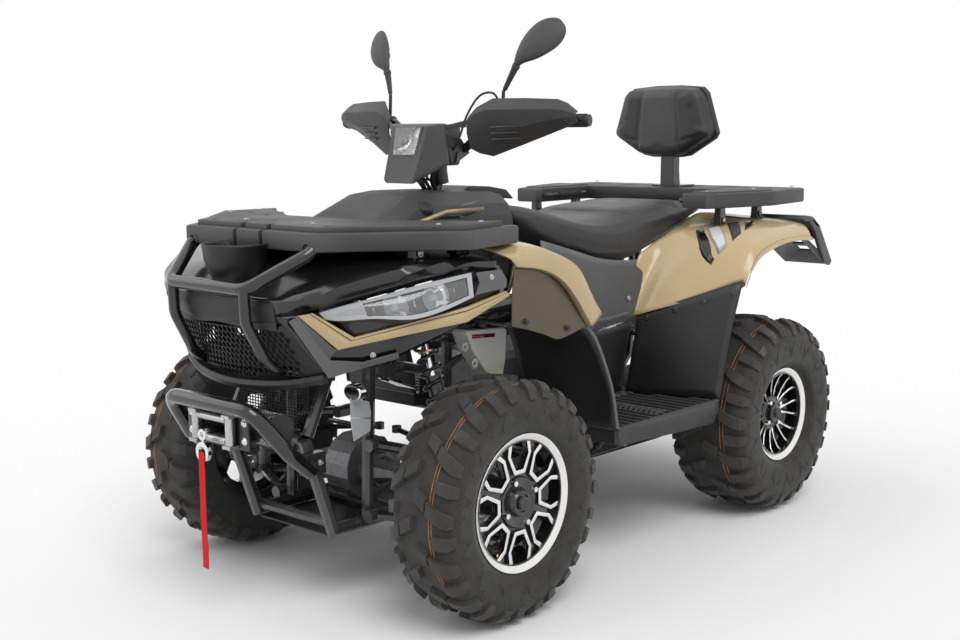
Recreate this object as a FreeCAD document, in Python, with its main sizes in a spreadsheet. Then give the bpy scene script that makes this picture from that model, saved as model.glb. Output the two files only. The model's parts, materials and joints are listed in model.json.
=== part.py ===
import FreeCAD, Part
import math
import os
import Sketcher
from FreeCAD import Placement, Rotation, Vector

# Quad bike with racks, winch, wind guards and a passenger backrest.
# Millimetres. The model is drawn with +X ahead, +Y to the left, +Z up and
# its zero on the ground halfway between the axles. At the end every piece
# is shifted along X so that the zero lies under the middle of the whole bike.

SIZES = {
    # whole machine
    "wheelbase": 1290.0,
    "hook_ahead": 1156.0,
    "tail_behind": 1050.0,
    "gap": 0.3,
    # front wheel
    "front_tyre_radius": 305.0,
    "front_tyre_width": 200.0,
    "front_wheel_side": 497.0,
    "front_rim_radius": 172.0,
    "front_rim_width": 172.0,
    # rear wheel
    "rear_tyre_radius": 305.0,
    "rear_tyre_width": 264.0,
    "rear_wheel_side": 453.0,
    "rear_rim_radius": 146.0,
    "rear_rim_width": 210.0,
    # tread
    "lug_depth": 16.0,
    "lug_count": 12.0,
    "wheel_facets": 24.0,
    "bar_facets": 8.0,
    "frame_facets": 8.0,
    "tube_facets": 12.0,
    "bend_step": 30.0,
    "tyre_wall": 9.0,
    # wheel fittings
    "spindle_radius": 15.0,
    "running_fit": 0.05,
    "disc_radius": 88.0,
    "disc_thick": 4.0,
    # steering
    "kingpin_side": 420.0,
    "ball_joint_drop": 80.0,
    "steer_arm": 110.0,
    "pitman_arm": 90.0,
    "column_radius": 12.0,
    "bar_radius": 11.0,
    "bar_half": 448.0,
    "bar_height": 1222.0,
    # frame
    "frame_tube": 16.0,
    "frame_side": 150.0,
    "frame_low": 205.0,
    "arm_tube": 12.0,
    # bumper and winch
    "hoop_tube": 16.0,
    "guard_tube": 19.0,
    "strap_width": 22.0,
    "strap_thick": 2.5,
    # racks
    "front_rack_top": 975.0,
    "front_rack_skirt": 42.0,
    "rear_rack_top": 996.0,
    "rear_rack_skirt": 40.0,
    "rack_wall": 5.0,
    "lid_rise": 41.0,
    # plastics
    "panel_wall": 4.0,
    "footboard_top": 402.0,
    # hitch
    "hitch_hole": 8.0,
    "hitch_thick": 10.0,
}

doc = FreeCAD.newDocument("QuadBike")
sheet = doc.addObject("Spreadsheet::Sheet", "Sizes")
for row, (alias, size) in enumerate(SIZES.items(), 1):
    sheet.set(f"A{row}", alias)
    sheet.set(f"B{row}", str(size))
    sheet.setAlias(f"B{row}", alias)
doc.recompute()

shapes = {}
bodies = {}


def val(alias):
    """The size that the sheet holds under this alias."""
    return float(sheet.get(alias))


# Places that several pieces share

AXLE = val("wheelbase") / 2
HUB_HIGH = val("front_tyre_radius")
UP = Vector(0, 0, 1)
SIDE = Vector(0, 1, 0)
AHEAD = Vector(1, 0, 0)
DOWN = (0, 0, -1)
INWARD = (0, -1, 0)
COLUMN_TOP = Vector(300, 0, 1100)
COLUMN_LOW = Vector(545, 0, 520)
COLUMN_UP = (COLUMN_TOP - COLUMN_LOW).normalize()
FRONT_SHOCK = (Vector(AXLE, 226, 742), Vector(AXLE, 336, 424))
REAR_SHOCK = (Vector(-AXLE, 205, 742), Vector(-AXLE, 288, 424))
# Half thickness of the winch hook, the foremost piece
HOOK_WIRE = 5.5
# How far the spindle's bore goes past the middle of a wheel
HUB_DEPTH = 30
CROSS_TOP = val("frame_low") + val("frame_tube") * 0.85 + val("gap")


# Helpers for forms

def keep(label, shape):
    """Add a finished shape to the sub-part with this label."""
    shapes.setdefault(label, []).append(shape)


def new_body(label):
    """An empty body of the document that becomes the sub-part with this label."""
    bodies[label] = doc.addObject("PartDesign::Body", label.title().replace("_", ""))
    return bodies[label]


def keep_body(label):
    """Take the finished body as the sub-part's shape."""
    doc.recompute()
    shapes[label] = [bodies[label].Shape]


def outline_sketch(body, corners, level):
    """A closed outline seen from above; places are numbers or expressions of the sheet."""
    sketch = body.newObject("Sketcher::SketchObject", "Outline")
    plane = next(face for face in body.Origin.OriginFeatures if face.Role == "XY_Plane")
    sketch.AttachmentSupport = [(plane, "")]
    sketch.MapMode = "FlatFace"
    sketch.setExpression(".AttachmentOffset.Base.z", level)
    spots = [Vector(*[float(sheet.evalExpression(str(place))) for place in corner], 0) for corner in corners]
    count = len(corners)
    for start, end in zip(spots, spots[1:] + spots[:1]):
        sketch.addGeometry(Part.LineSegment(start, end))
    for n in range(count):
        sketch.addConstraint(Sketcher.Constraint("Coincident", n, 2, (n + 1) % count, 1))
    for n, (corner, spot) in enumerate(zip(corners, spots)):
        for kind, place, number in (("DistanceX", corner[0], spot.x), ("DistanceY", corner[1], spot.y)):
            rule = sketch.addConstraint(Sketcher.Constraint(kind, -1, 1, n, 1, number))
            if isinstance(place, str):
                sketch.setExpression(f"Constraints[{rule}]", place)
    return sketch


def padded(body, corners, level, height):
    """An outline pushed upwards from its level as a feature of the body."""
    pad = body.newObject("PartDesign::Pad", "Pad")
    pad.Profile = outline_sketch(body, corners, level)
    pad.setExpression("Length", height)
    return pad


def rectangle(x0, x1, y0, y1):
    return [(x0, y0), (x1, y0), (x1, y1), (x0, y1)]


def made(label):
    """The sub-part as it stands so far."""
    return shapes[label][0] if len(shapes[label]) == 1 else Part.makeCompound(shapes[label])


def mirrored(shape):
    """The same shape on the other side of the bike."""
    return shape.mirror(Vector(0, 0, 0), SIDE)


def pair(shape):
    """A left shape and its right twin."""
    return Part.makeCompound([shape, mirrored(shape)])


def fused(shapes):
    """One solid out of shapes that meet."""
    whole = shapes[0].multiFuse(shapes[1:]) if len(shapes) > 1 else shapes[0]
    return whole.removeSplitter()


def points(*triples):
    return [Vector(*triple) for triple in triples]


def rod(start, end, radius, sides=None):
    """A bar from one point to another, with flats so that it stays light."""
    along = end - start
    across = along.cross(UP if abs(along.z) < 0.9 * along.Length else AHEAD).normalize()
    other = along.cross(across).normalize()
    return slab(ring_of_corners(start, across, other, radius, sides or int(val("bar_facets"))), along)


def ring_of_corners(middle, across, other, radius, sides):
    """The corners of a ring whose flats touch a circle of this radius."""
    radius = radius / math.cos(math.pi / sides)
    turns = [2 * math.pi * (n + 0.5) / sides for n in range(sides)]
    return [middle + across * (radius * math.cos(turn)) + other * (radius * math.sin(turn)) for turn in turns]


def runs(corners, radius):
    """Straight bars from corner to corner that meet in mitres."""
    ways = [(end - start).normalize() for start, end in zip(corners, corners[1:])]
    planes = [ways[0]] + [before + after for before, after in zip(ways, ways[1:])] + [ways[-1]]
    bars = []
    for n, way in enumerate(ways):
        across = way.cross(UP + SIDE * 0.01).normalize()
        rings = []
        for corner, normal in ((corners[n], planes[n]), (corners[n + 1], planes[n + 1])):
            ring = ring_of_corners(corner, across, way.cross(across), radius, int(val("frame_facets")))
            rings.append([spot - way * ((spot - corner).dot(normal) / way.dot(normal)) for spot in ring])
        bars.append(loft(rings, flat=True))
    return bars


def turned(start, end, profile, sides=8):
    """A form turned about the line from start to end: (share of the length, radius)."""
    along = end - start
    across = along.cross(UP if abs(along.z) < 0.9 * along.Length else AHEAD).normalize()
    other = along.cross(across).normalize()
    rings = [ring_of_corners(start + along * share, across, other, radius, sides)
             for share, radius in profile]
    return loft(rings, flat=True)


def bend_stations(corners, bend):
    """Places and directions along a line whose corners are rounded by this radius."""
    stations = [(corners[0], (corners[1] - corners[0]).normalize())]
    for before, corner, after in zip(corners, corners[1:], corners[2:]):
        back = (before - corner).normalize()
        on = (after - corner).normalize()
        half = back.getAngle(on) / 2
        enter = corner + back * (bend / math.tan(half))
        middle = corner + (back + on).normalize() * (bend / math.sin(half))
        whole_turn = 180 - math.degrees(2 * half)
        steps = math.ceil(whole_turn / val("bend_step"))
        for n in range(steps + 1):
            turn = Rotation(on.cross(back), whole_turn * n / steps)
            stations.append((middle + turn.multVec(enter - middle), turn.multVec(back * -1)))
    stations.append((corners[-1], (corners[-1] - corners[-2]).normalize()))
    return stations


def tube(corners, radius, bend=50.0):
    """A bent tube: a ring of corners carried along its middle line."""
    sections = []
    across = (corners[1] - corners[0]).cross(UP + AHEAD * 0.1)
    for spot, along in bend_stations(corners, bend):
        across = (across - along * across.dot(along)).normalize()
        sections.append(ring_of_corners(spot, across, along.cross(across), radius, int(val("tube_facets"))))
    return loft(sections)


def strut(start, end, radius, trim):
    """A frame bar whose ends stop this far short, just inside the bars it is welded to."""
    reach = (end - start).normalize() * trim
    return rod(start + reach, end - reach, radius, int(val("frame_facets")))


def butted(bars):
    """Bars cut where they meet those before them, so that each stays one simple solid."""
    placed = []
    for bar in bars:
        for other in placed:
            if bar.BoundBox.intersect(other.BoundBox):
                bar = bar.cut(other)
        placed.append(max(bar.Solids, key=lambda solid: solid.Volume))
    return placed


def polygon(corners):
    return Part.Wire(Part.makePolygon(list(corners) + [corners[0]]))


def slab(corners, along):
    """A flat outline pushed along a vector."""
    return Part.Face(polygon(corners)).extrude(along)


def plan_slab(outline, low, high):
    """An outline seen from above, between two heights."""
    corners = [Vector(x, y, low) for x, y in outline]
    return slab(corners, Vector(0, 0, high - low))


def side_slab(outline, near, far):
    """An outline seen from the side, between two distances off the middle."""
    corners = [Vector(x, near, z) for x, z in outline]
    return slab(corners, Vector(0, far - near, 0))


def closed(corner_lists):
    """A solid whose flat sides have these corners."""
    shell = Part.makeShell([Part.Face(polygon(corners)) for corners in corner_lists])
    shell.sewShape()
    solid = Part.makeSolid(shell)
    return solid if solid.Volume > 0 else solid.reversed()


def halves(quads):
    """Four-cornered sides, each split into two flat ones."""
    sides = []
    for a, b, c, d in quads:
        sides += [(a, b, c), (a, c, d)]
    return sides


def skin(rows, wall, inward):
    """A sheet through rows of points, its wall on the side that inward points to."""
    high, wide = len(rows), len(rows[0])
    outer = [[Vector(*spot) for spot in row] for row in rows]
    normals = []
    for r in range(high):
        for c in range(wide):
            along = outer[r][min(c + 1, wide - 1)] - outer[r][max(c - 1, 0)]
            across = outer[min(r + 1, high - 1)][c] - outer[max(r - 1, 0)][c]
            normals.append(along.cross(across).normalize())
    middle = sum(normals, Vector())
    depth = wall if middle.dot(Vector(*inward)) > 0 else -wall
    inner = [[outer[r][c] + normals[r * wide + c] * depth for c in range(wide)] for r in range(high)]
    return between(outer, inner)


def between(outer, inner):
    """The solid between two grids of points."""
    high, wide = len(outer), len(outer[0])
    quads = []
    for grid in (outer, inner):
        for r in range(high - 1):
            for c in range(wide - 1):
                quads.append((grid[r][c], grid[r][c + 1], grid[r + 1][c + 1], grid[r + 1][c]))
    ring = [(0, c) for c in range(wide)] + [(r, wide - 1) for r in range(1, high)]
    ring += [(high - 1, c) for c in range(wide - 2, -1, -1)] + [(r, 0) for r in range(high - 2, 0, -1)]
    for (r, c), (s, d) in zip(ring, ring[1:] + ring[:1]):
        quads.append((outer[r][c], outer[s][d], inner[s][d], inner[r][c]))
    return closed(halves(quads))


def loft(sections, flat=False):
    """A faceted solid through closed outlines with the same number of corners.

    flat says that the sides between two outlines are plane as they are.
    """
    quads = []
    for near, far in zip(sections, sections[1:]):
        for n in range(len(near)):
            m = (n + 1) % len(near)
            quads.append((near[n], near[m], far[m], far[n]))
    return closed((quads if flat else halves(quads)) + [sections[0], sections[-1]])


def under(rows, depth=120):
    """Everything below a skin's rows, and the small gap above them."""
    top = [[Vector(x, y, z + val("gap")) for x, y, z in row] for row in rows]
    low = [[spot - UP * depth for spot in row] for row in top]
    return between(top, low)


def stay(start, end, radius, target):
    """A bracket from the frame that stops at the piece it carries."""
    rest = rod(start, end, radius, 6).cut(target).cut(mirrored(target))
    return min(rest.Solids, key=lambda solid: solid.distToShape(Part.Vertex(start))[0])


def block(low, high):
    size = Vector(*high) - Vector(*low)
    return Part.makeBox(size.x, size.y, size.z, Vector(*low))


def spin(outline, centre):
    """A closed (side, radius) outline turned about the wheel's axle in flat steps."""
    steps = int(val("wheel_facets"))
    rings = []
    for n in range(steps):
        angle = 2 * math.pi * (n + 0.5) / steps
        out = Vector(math.sin(angle), 0, math.cos(angle))
        rings.append([centre + SIDE * side + out * radius for side, radius in outline])
    quads = []
    for near, far in zip(rings, rings[1:] + rings[:1]):
        for n in range(len(near)):
            m = (n + 1) % len(near)
            quads.append((near[n], near[m], far[m], far[n]))
    return closed(quads)


# Wheels

def tyre_outline(radius, width, rim_radius, rim_width):
    """Half section of the carcass: tread, shoulder, side wall and bead."""
    half = width / 2
    depth = val("lug_depth")
    wall = val("tyre_wall")
    bead = rim_radius - 18 + val("gap")
    lip = rim_width / 2
    outer = [(0, radius - depth), (half * 0.8, radius - depth - 9), (half * 0.98, radius - depth - 44),
             (lip + 1, rim_radius + 8), (lip - 13, bead)]
    inner = [(lip - 13 - wall * 1.4, bead), (half * 0.8, radius - depth - 44), (0, radius - depth - wall - 6)]
    return outer, inner


def lug(radius, width, turn, side):
    """One slanted lug that runs from the tread over the shoulder."""
    half = width / 2
    sink = val("lug_depth") + 8.0
    long = 28.0
    slant = 36.0
    # share of half width, drop of the top
    stations = ((0.05, 0.0), (0.84, 5.0), (1.0, 44.0))
    outline = [(share, radius - drop) for share, drop in stations]
    outline += [(share, radius - drop - sink) for share, drop in reversed(stations)]
    near = -long / 2 - slant / 2
    corners = [Vector(near + slant * share, side * share * half, high) for share, high in outline]
    body = slab(corners, AHEAD * long)
    body.rotate(Vector(0, 0, 0), SIDE, turn)
    return body


def tyre(radius, width, rim_radius, rim_width):
    """Carcass with two rows of lugs, half a pitch apart."""
    outer, inner = tyre_outline(radius, width, rim_radius, rim_width)
    ring = outer + inner
    ring += [(-side, high) for side, high in reversed(outer[1:] + inner[:-1])]
    carcass = spin(ring, Vector(0, 0, 0))
    count = int(val("lug_count"))
    pitch = 360.0 / count
    lugs = [lug(radius, width, pitch * n, 1) for n in range(count)]
    lugs += [lug(radius, width, pitch * (n + 0.5), -1) for n in range(count)]
    return carcass.multiFuse(lugs)


def rim(radius, width, spokes, dish):
    """Lipped barrel, spoked face, hub with a blind bore and brake disc."""
    half = width / 2
    seat = radius - 18
    well = seat - 18
    barrel = spin([
        (half, radius), (half - 8, well - 5), (8 - half, well - 5), (-half, radius),
        (12 - half, seat), (-half * 0.36, well), (half * 0.36, well), (half - 12, seat),
    ], Vector(0, 0, 0))
    face_at = half - dish
    face = spin([(face_at + 6, 30), (face_at, well - 2), (face_at - 10, well - 2), (face_at - 10, 30)],
                Vector(0, 0, 0))
    windows = []
    for n in range(spokes):
        window = slab([
            Vector(-10, -half, 66), Vector(10, -half, 66),
            Vector(26, -half, seat - 40), Vector(-26, -half, seat - 40),
        ], Vector(0, width, 0))
        window.rotate(Vector(0, 0, 0), SIDE, 360.0 * n / spokes)
        windows.append(window)
    face = face.cut(Part.makeCompound(windows))
    sides = int(val("wheel_facets"))
    hub = rod(SIDE * -34, SIDE * (face_at + 8), 34, sides // 2)
    cap = rod(SIDE * face_at, SIDE * (face_at + 22), 30, sides // 2)
    disc = rod(SIDE * -34, SIDE * (val("disc_thick") - 34), val("disc_radius"), sides)
    bore_radius = val("spindle_radius") + val("running_fit")
    bore = Part.makeCylinder(bore_radius, 40 + HUB_DEPTH, Vector(0, -40, 0), SIDE)
    return fused([barrel, face, hub, cap, disc]).cut(bore)


def wheels():
    """Four tyres and four rims."""
    kinds = {
        "front": (AXLE, val("front_wheel_side"), val("front_tyre_radius"),
                  val("front_tyre_width"), val("front_rim_radius"), val("front_rim_width"), 8, 26),
        "rear": (-AXLE, val("rear_wheel_side"), val("rear_tyre_radius"),
                 val("rear_tyre_width"), val("rear_rim_radius"), val("rear_rim_width"), 8, 44),
    }
    for end, (x, y, radius, width, rim_radius, rim_width, spokes, dish) in kinds.items():
        rubber = tyre(radius, width, rim_radius, rim_width)
        metal = rim(rim_radius, rim_width, spokes, dish)
        for side in ("left", "right"):
            for name, shape in (("tyre", rubber), ("rim", metal)):
                placed = shape.copy()
                placed.translate(Vector(x, y, radius))
                if side == "right":
                    placed = mirrored(placed)
                keep(f"{name}_{end}_{side}", placed)


# Running gear

def knuckle():
    """Left front upright with spindle, steering arm and brake caliper."""
    x, y, z = AXLE, val("kingpin_side"), HUB_HIGH
    gap = val("gap")
    reach = val("ball_joint_drop") - 13 - gap
    upright = rod(Vector(x, y, z - reach), Vector(x, y, z + reach), 17, 12)
    boss = rod(Vector(x, y - 8, z), Vector(x, y + 26, z), 30)
    spindle_long = val("front_wheel_side") - y + HUB_DEPTH - 2
    spindle = Part.makeCylinder(val("spindle_radius"), spindle_long, Vector(x, y, z), SIDE)
    arm_end = Vector(x - val("steer_arm"), y - 22, z + 6)
    arm = fused([rod(Vector(x, y - 4, z + 6), arm_end, 7.5),
                 Part.makeCylinder(15, 16, arm_end - UP * 8, UP)])
    caliper = block((x - 96, y + 20, z + 20), (x - 52, y + 68, z + 84))
    disc_slot = Part.makeCylinder(val("disc_radius") + 5, val("disc_thick") + 10,
                                  Vector(x, val("front_wheel_side") - 34 - 5, z), SIDE)
    caliper = caliper.cut(disc_slot)
    bracket = block((x - 80, y - 4, z + 24), (x - 4, y + 26, z + 44))
    return fused([upright, boss, spindle, arm, caliper, bracket])


def tie_rod():
    """Left rod from the knuckle's arm to the foot of the column."""
    x = AXLE - val("steer_arm")
    high = HUB_HIGH + 6 + 8 + val("gap") + 9
    outer = Vector(x, val("kingpin_side") - 22, high)
    inner = Vector(x, 34, high + 60)
    return fused([rod(outer, inner, 7),
                  Part.makeCylinder(13, 18, outer - UP * 9, UP),
                  rod(inner - UP * 9, inner + UP * 9, 13)])


def front_arm(z_out, z_in, spread):
    """Left wishbone: two tubes that meet at the ball joint."""
    x = AXLE
    y_in = val("frame_side") + val("frame_tube") + val("gap")
    out = Vector(x, val("kingpin_side"), z_out)
    pieces = [rod(out - UP * 13, out + UP * 13, 21)]
    for sign in (-1, 1):
        foot = Vector(x + sign * spread, y_in + 16, z_in)
        pieces.append(rod(out, foot, val("arm_tube")))
        pieces.append(rod(foot - AHEAD * 26, foot + AHEAD * 26, 16))
    return pieces


def shock_saddle(eye, spread):
    """Cross tube between a wishbone's legs, right under the shock's eye."""
    at = eye - UP * (15 + val("gap") + 9)
    return rod(at - AHEAD * spread, at + AHEAD * spread, 9)


def front_suspension():
    low = butted(front_arm(HUB_HIGH - val("ball_joint_drop"), val("frame_low") + 20, 120))
    top_legs = front_arm(HUB_HIGH + val("ball_joint_drop"), 410, 110)
    high = butted(top_legs + [shock_saddle(FRONT_SHOCK[1], 48)])
    keep("suspension_arms", pair(Part.makeCompound(low + high)))


def rear_arm(z_out, z_in):
    """Left rear wishbone, from the frame to the hub carrier."""
    x = -AXLE
    y_in = val("frame_side") + val("frame_tube") + val("gap")
    y_out = val("rear_wheel_side") - 62
    pieces = [rod(Vector(x - 30, y_out, z_out), Vector(x + 30, y_out, z_out), 15)]
    for sign in (-1, 1):
        foot = Vector(x + sign * 110, y_in + 16, z_in)
        pieces.append(rod(Vector(x + sign * 18, y_out, z_out), foot, val("arm_tube")))
        pieces.append(rod(foot - AHEAD * 26, foot + AHEAD * 26, 16))
    return pieces


def rear_suspension():
    x, z = -AXLE, HUB_HIGH
    y_out = val("rear_wheel_side") - 62
    low = butted(rear_arm(z - 72, val("frame_low") + 20))
    high = butted(rear_arm(z + 72, 400) + [shock_saddle(REAR_SHOCK[1], 58)])
    keep("suspension_arms", pair(Part.makeCompound(low + high)))
    gap = val("gap")
    upright = block((x - 26, y_out - 12, z - 57 + gap), (x + 26, y_out + 14, z + 57 - gap))
    spindle_long = val("rear_wheel_side") - y_out + HUB_DEPTH - 2
    spindle = Part.makeCylinder(val("spindle_radius"), spindle_long, Vector(x, y_out, z), SIDE)
    keep("drive_line", pair(fused([upright, spindle])))


def shock(top, low):
    """Spring between two seats over a damper, with an eye at each end."""
    long = (low - top).Length
    spring_from, spring_to = 34 / long, 1 - 60 / long
    coils = 5
    step = (spring_to - spring_from) / coils
    profile = [(0.0, 13), (24 / long, 13), (25 / long, 33), (spring_from, 33)]
    for n in range(coils):
        profile += [(spring_from + step * (n + 0.1), 22), (spring_from + step * (n + 0.5), 31),
                    (spring_from + step * (n + 0.9), 22)]
    profile += [(spring_to, 33), (spring_to + 10 / long, 33), (spring_to + 11 / long, 13), (1.0, 13)]
    eyes = [rod(spot - AHEAD * 13, spot + AHEAD * 13, 15) for spot in (top, low)]
    return fused([turned(top, low, profile)] + eyes)


def shocks():
    front = shock(*FRONT_SHOCK)
    rear = shock(*REAR_SHOCK)
    keep("shocks", pair(front))
    keep("shocks", pair(rear))


def drive_line():
    """Front and rear differentials with their half shafts."""
    inner = 92
    rear_end = val("rear_wheel_side") - 62 - 12 - val("gap")
    # The front shafts end short of the turning knuckles, in a boot
    front_end = val("kingpin_side") - 48
    for x, y_end, boot in ((AXLE, front_end, 28), (-AXLE, rear_end, 34)):
        middle = Vector(x, 0, HUB_HIGH)
        snout = 120 if x < 0 else -120
        case = [
            rod(middle - SIDE * 45, middle + SIDE * 45, HUB_HIGH - CROSS_TOP, 16),
            rod(middle + SIDE * 40, middle + SIDE * inner, 44),
            rod(middle - SIDE * 40, middle - SIDE * inner, 44),
            rod(middle, middle + AHEAD * snout, 36),
        ]
        shafts = []
        for sign in (-1, 1):
            side = SIDE * sign
            shafts.append(rod(middle + side * (inner - 4), middle + side * y_end, 12))
            shafts.append(turned(middle + side * inner, middle + side * (inner + 60), ((0, 36), (1, 20))))
            boot_ends = middle + side * (y_end - 60), middle + side * (y_end - 4)
            shafts.append(turned(*boot_ends, ((0, 20), (1, boot))))
        for solid in butted(case + shafts):
            keep("drive_line", solid)


# Frame and what hangs on it

def post_radius():
    """The upright tubes are a little thinner than the rails."""
    return val("frame_tube") * 0.9


def column_bush():
    """Two collars that hold the steering column."""
    pieces = []
    side = val("frame_side")
    for height, beam_x in ((700, 458), (548, 462)):
        share = (height - COLUMN_LOW.z) / (COLUMN_TOP.z - COLUMN_LOW.z)
        at = COLUMN_LOW + (COLUMN_TOP - COLUMN_LOW) * share
        pieces.append(rod(at - COLUMN_UP * 18, at + COLUMN_UP * 18, val("column_radius") + 11))
        pieces.append(rod(Vector(beam_x, -side, height), Vector(beam_x, side, height), 13))
        if at.x - beam_x > 30:
            pieces.append(rod(Vector(beam_x, 0, height), at, 10))
    return pieces


def body_stays():
    """Left brackets that carry the plastics."""
    side = val("frame_side")
    goals = [
        ((660, side, 680), (660, side, 960), 10, "front_cowl"),
        ((880, side, 620), (960, 380, 790), 9, "front_fascia"),
        ((700, side, 670), (700, 520, 810), 9, "front_fascia"),
        ((452, side, 700), (500, 420, 960), 9, "front_fenders"),
        ((460, side, 660), (430, 520, 760), 9, "front_fenders"),
        ((462, side, 560), (430, 330, 700), 9, "inner_mudguards"),
        ((-60, side, 655), (-60, 300, 665), 9, "centre_covers"),
        ((-120, side, 480), (-120, 300, 480), 9, "inner_mudguards"),
        ((-560, side, 760), (-600, 420, 920), 9, "rear_fenders"),
        ((-400, side, 710), (-400, side, 960), 9, "seat"),
    ]
    return [stay(Vector(*start), Vector(*end), radius, made(label)) for start, end, radius, label in goals]


def frame():
    """Welded tube frame: rails, posts, cross tubes and brackets, each a simple bar."""
    r = val("frame_tube")
    post = post_radius()
    side = val("frame_side")
    low = val("frame_low")
    bars = runs(points((965, side, 455), (880, side, low), (-600, side, low), (-800, side, 400),
                       (-860, side, 830)), r)
    bars += runs(points((890, side, 620), (560, side, 700), (180, side, 720), (-120, side, 640),
                        (-560, side, 760), (-900, side, 830)), r)
    posts = (((960, 450), (872, 624)), ((470, low), (450, 706)), ((760, low), (745, 655)),
             ((-120, low), (-120, 640)), ((-520, low), (-540, 755)), ((-760, 360), (-750, 800)))
    weld = r * 0.75
    for foot, head in posts:
        bars.append(strut(Vector(foot[0], side, foot[1]), Vector(head[0], side, head[1]), post, weld))
    outrigger_z = val("footboard_top") - 46 - 11 - val("gap")
    for x in (110, -210):
        bars.append(strut(Vector(x, side, low), Vector(x, 262, outrigger_z), 11, 8))
        bars.append(rod(Vector(x, 258, outrigger_z), Vector(x, 500, outrigger_z), 11))
    for top in (FRONT_SHOCK[0], REAR_SHOCK[0]):
        bars.append(rod(Vector(top.x, side, top.z - 60), Vector(top.x, side, top.z + 34), 12))
        bars.append(rod(Vector(top.x, side + 6, top.z), Vector(top.x, top.y - 15 - val("gap"), top.z), 12))
    bars += body_stays()
    bars += [mirrored(bar) for bar in bars]
    for x, z in ((963, 452), (870, low + 12), (AXLE, low), (200, low), (-190, low), (-530, low), (-860, 828),
                 (-120, 640), (885, 622)):
        bars.append(strut(Vector(x, -side, z), Vector(x, side, z), r * 0.85, weld))
    bore = Part.makeCylinder(val("column_radius") + val("running_fit"), (COLUMN_TOP - COLUMN_LOW).Length + 40,
                             COLUMN_LOW - COLUMN_UP * 40, COLUMN_UP)
    bars = [bar.cut(bore) for bar in column_bush()] + bars
    for solid in butted(bars + hitch()):
        keep("frame", solid)


def engine():
    """Engine and gearbox as one plain block with broken edges."""
    top = 560
    broken_edge = 18
    body = new_body("engine")
    cross_top = "Sizes.frame_low + Sizes.frame_tube * 0.85 + Sizes.gap"
    case = padded(body, rectangle(-230, 240, -118, 118), cross_top, f"{top} - ({cross_top})")
    doc.recompute()
    chamfer = body.newObject("PartDesign::Chamfer", "BrokenEdges")
    chamfer.Base = (case, [f"Edge{n + 1}" for n in range(len(case.Shape.Edges))])
    chamfer.Size = broken_edge
    keep_body("engine")


def skid_plate():
    thick = 4
    low = f"Sizes.frame_low - Sizes.frame_tube - Sizes.gap - {thick}"
    padded(new_body("skid_plate"), [(880, -140), (880, 140), (-560, 160), (-560, -160)], low, str(thick))
    keep_body("skid_plate")


def exhaust():
    """Muffler between the rear rails, above the differential."""
    muffler = rod(Vector(-680, -66, 560), Vector(-960, -66, 590), 56)
    start = -230 - val("gap")
    pipe = tube(points((start, -66, 500), (-420, -66, 500), (-560, -66, 547), (-690, -66, 561)), 20, 60)
    tip = rod(Vector(-950, -66, 589), Vector(-1000, -66, 594), 18)
    keep("exhaust", fused([muffler, pipe, tip]))


def hitch():
    thick = val("hitch_thick")
    high = 480
    outline = [(-800, -40), (-800, 40), (-905, 34), (-930, 18), (-930, -18), (-905, -34)]
    tongue = plan_slab(outline, high - thick / 2, high + thick / 2)
    hole = Part.makeCylinder(val("hitch_hole"), 60, Vector(-895, 0, high - 30), UP)
    side = val("frame_side")
    bar = rod(Vector(-811, -side, high), Vector(-811, side, high), 14)
    return [bar, tongue.cut(hole)]


# Bumper, guard and winch

def hoop_tubes(grow=0.0):
    """The upper bumper's hoop and its two uprights."""
    r = val("hoop_tube") + grow
    hoop = tube(points((905, 300, 900), (997, 244, 900), (1126, 147, 841),
                       (1126, -147, 841), (997, -244, 900), (905, -300, 900)), r, 34)
    uprights = []
    for sign in (-1, 1):
        uprights.append(tube(points((1126, sign * 140, 841), (1124, sign * 140, 763), (1062, sign * 142, 650),
                                    (985, sign * 146, 560)), val("hoop_tube") * 0.85 + grow, 40))
    return fused([hoop] + uprights)


def bumper_hoop():
    keep("bumper_hoop", hoop_tubes())


def winch_guard():
    r = val("guard_tube")
    left = points((985, 196, 385), (1050, 196, 440), (1135, 162, 555))
    guard = tube(left + points((1135, -162, 555), (1050, -196, 440), (985, -196, 385)), r, 40)
    feet = []
    for sign in (-1, 1):
        near = sign * (val("frame_side") + val("frame_tube") + val("gap"))
        far = sign * 200
        low_y, high_y = min(near, far), max(near, far)
        feet.append(block((935, low_y, 375), (1005, high_y, 430)))
    keep("winch_guard", fused([guard] + feet))


# The fairlead's face, just behind the hook that hangs in front of it
FAIRLEAD = val("hook_ahead") - 50


def winch():
    x, z = FAIRLEAD - 61, 490
    drum = rod(Vector(x, -48, z), Vector(x, 48, z), 30, 12)
    motor = rod(Vector(x, 48, z), Vector(x, 158, z), 42, 12)
    gear = rod(Vector(x, -138, z), Vector(x, -48, z), 42, 12)
    cross_top = 452 + val("frame_tube") * 0.85 + val("gap")
    foot = block((950, -120, cross_top), (FAIRLEAD, 120, cross_top + 7))
    keep("winch", fused([drum, motor, gear, foot]))


def fairlead():
    x = FAIRLEAD + val("gap")
    plate = block((x, -120, 446), (x + 6, 120, 540))
    mouth = block((x - 5, -60, 468), (x + 10, 60, 516))
    plate = plate.cut(mouth)
    rollers = []
    for sign in (-1, 1):
        rollers.append(rod(Vector(x + 20, sign * 66, 457), Vector(x + 20, sign * 66, 527), 11))
        rollers.append(rod(Vector(x + 20, -56, 492 + sign * 26), Vector(x + 20, 56, 492 + sign * 26), 9))
        for z in (450, 524):
            rollers.append(block((x, sign * 66 - 15, z), (x + 34, sign * 66 + 15, z + 8)))
    keep("fairlead", fused([plate] + rollers))


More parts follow.
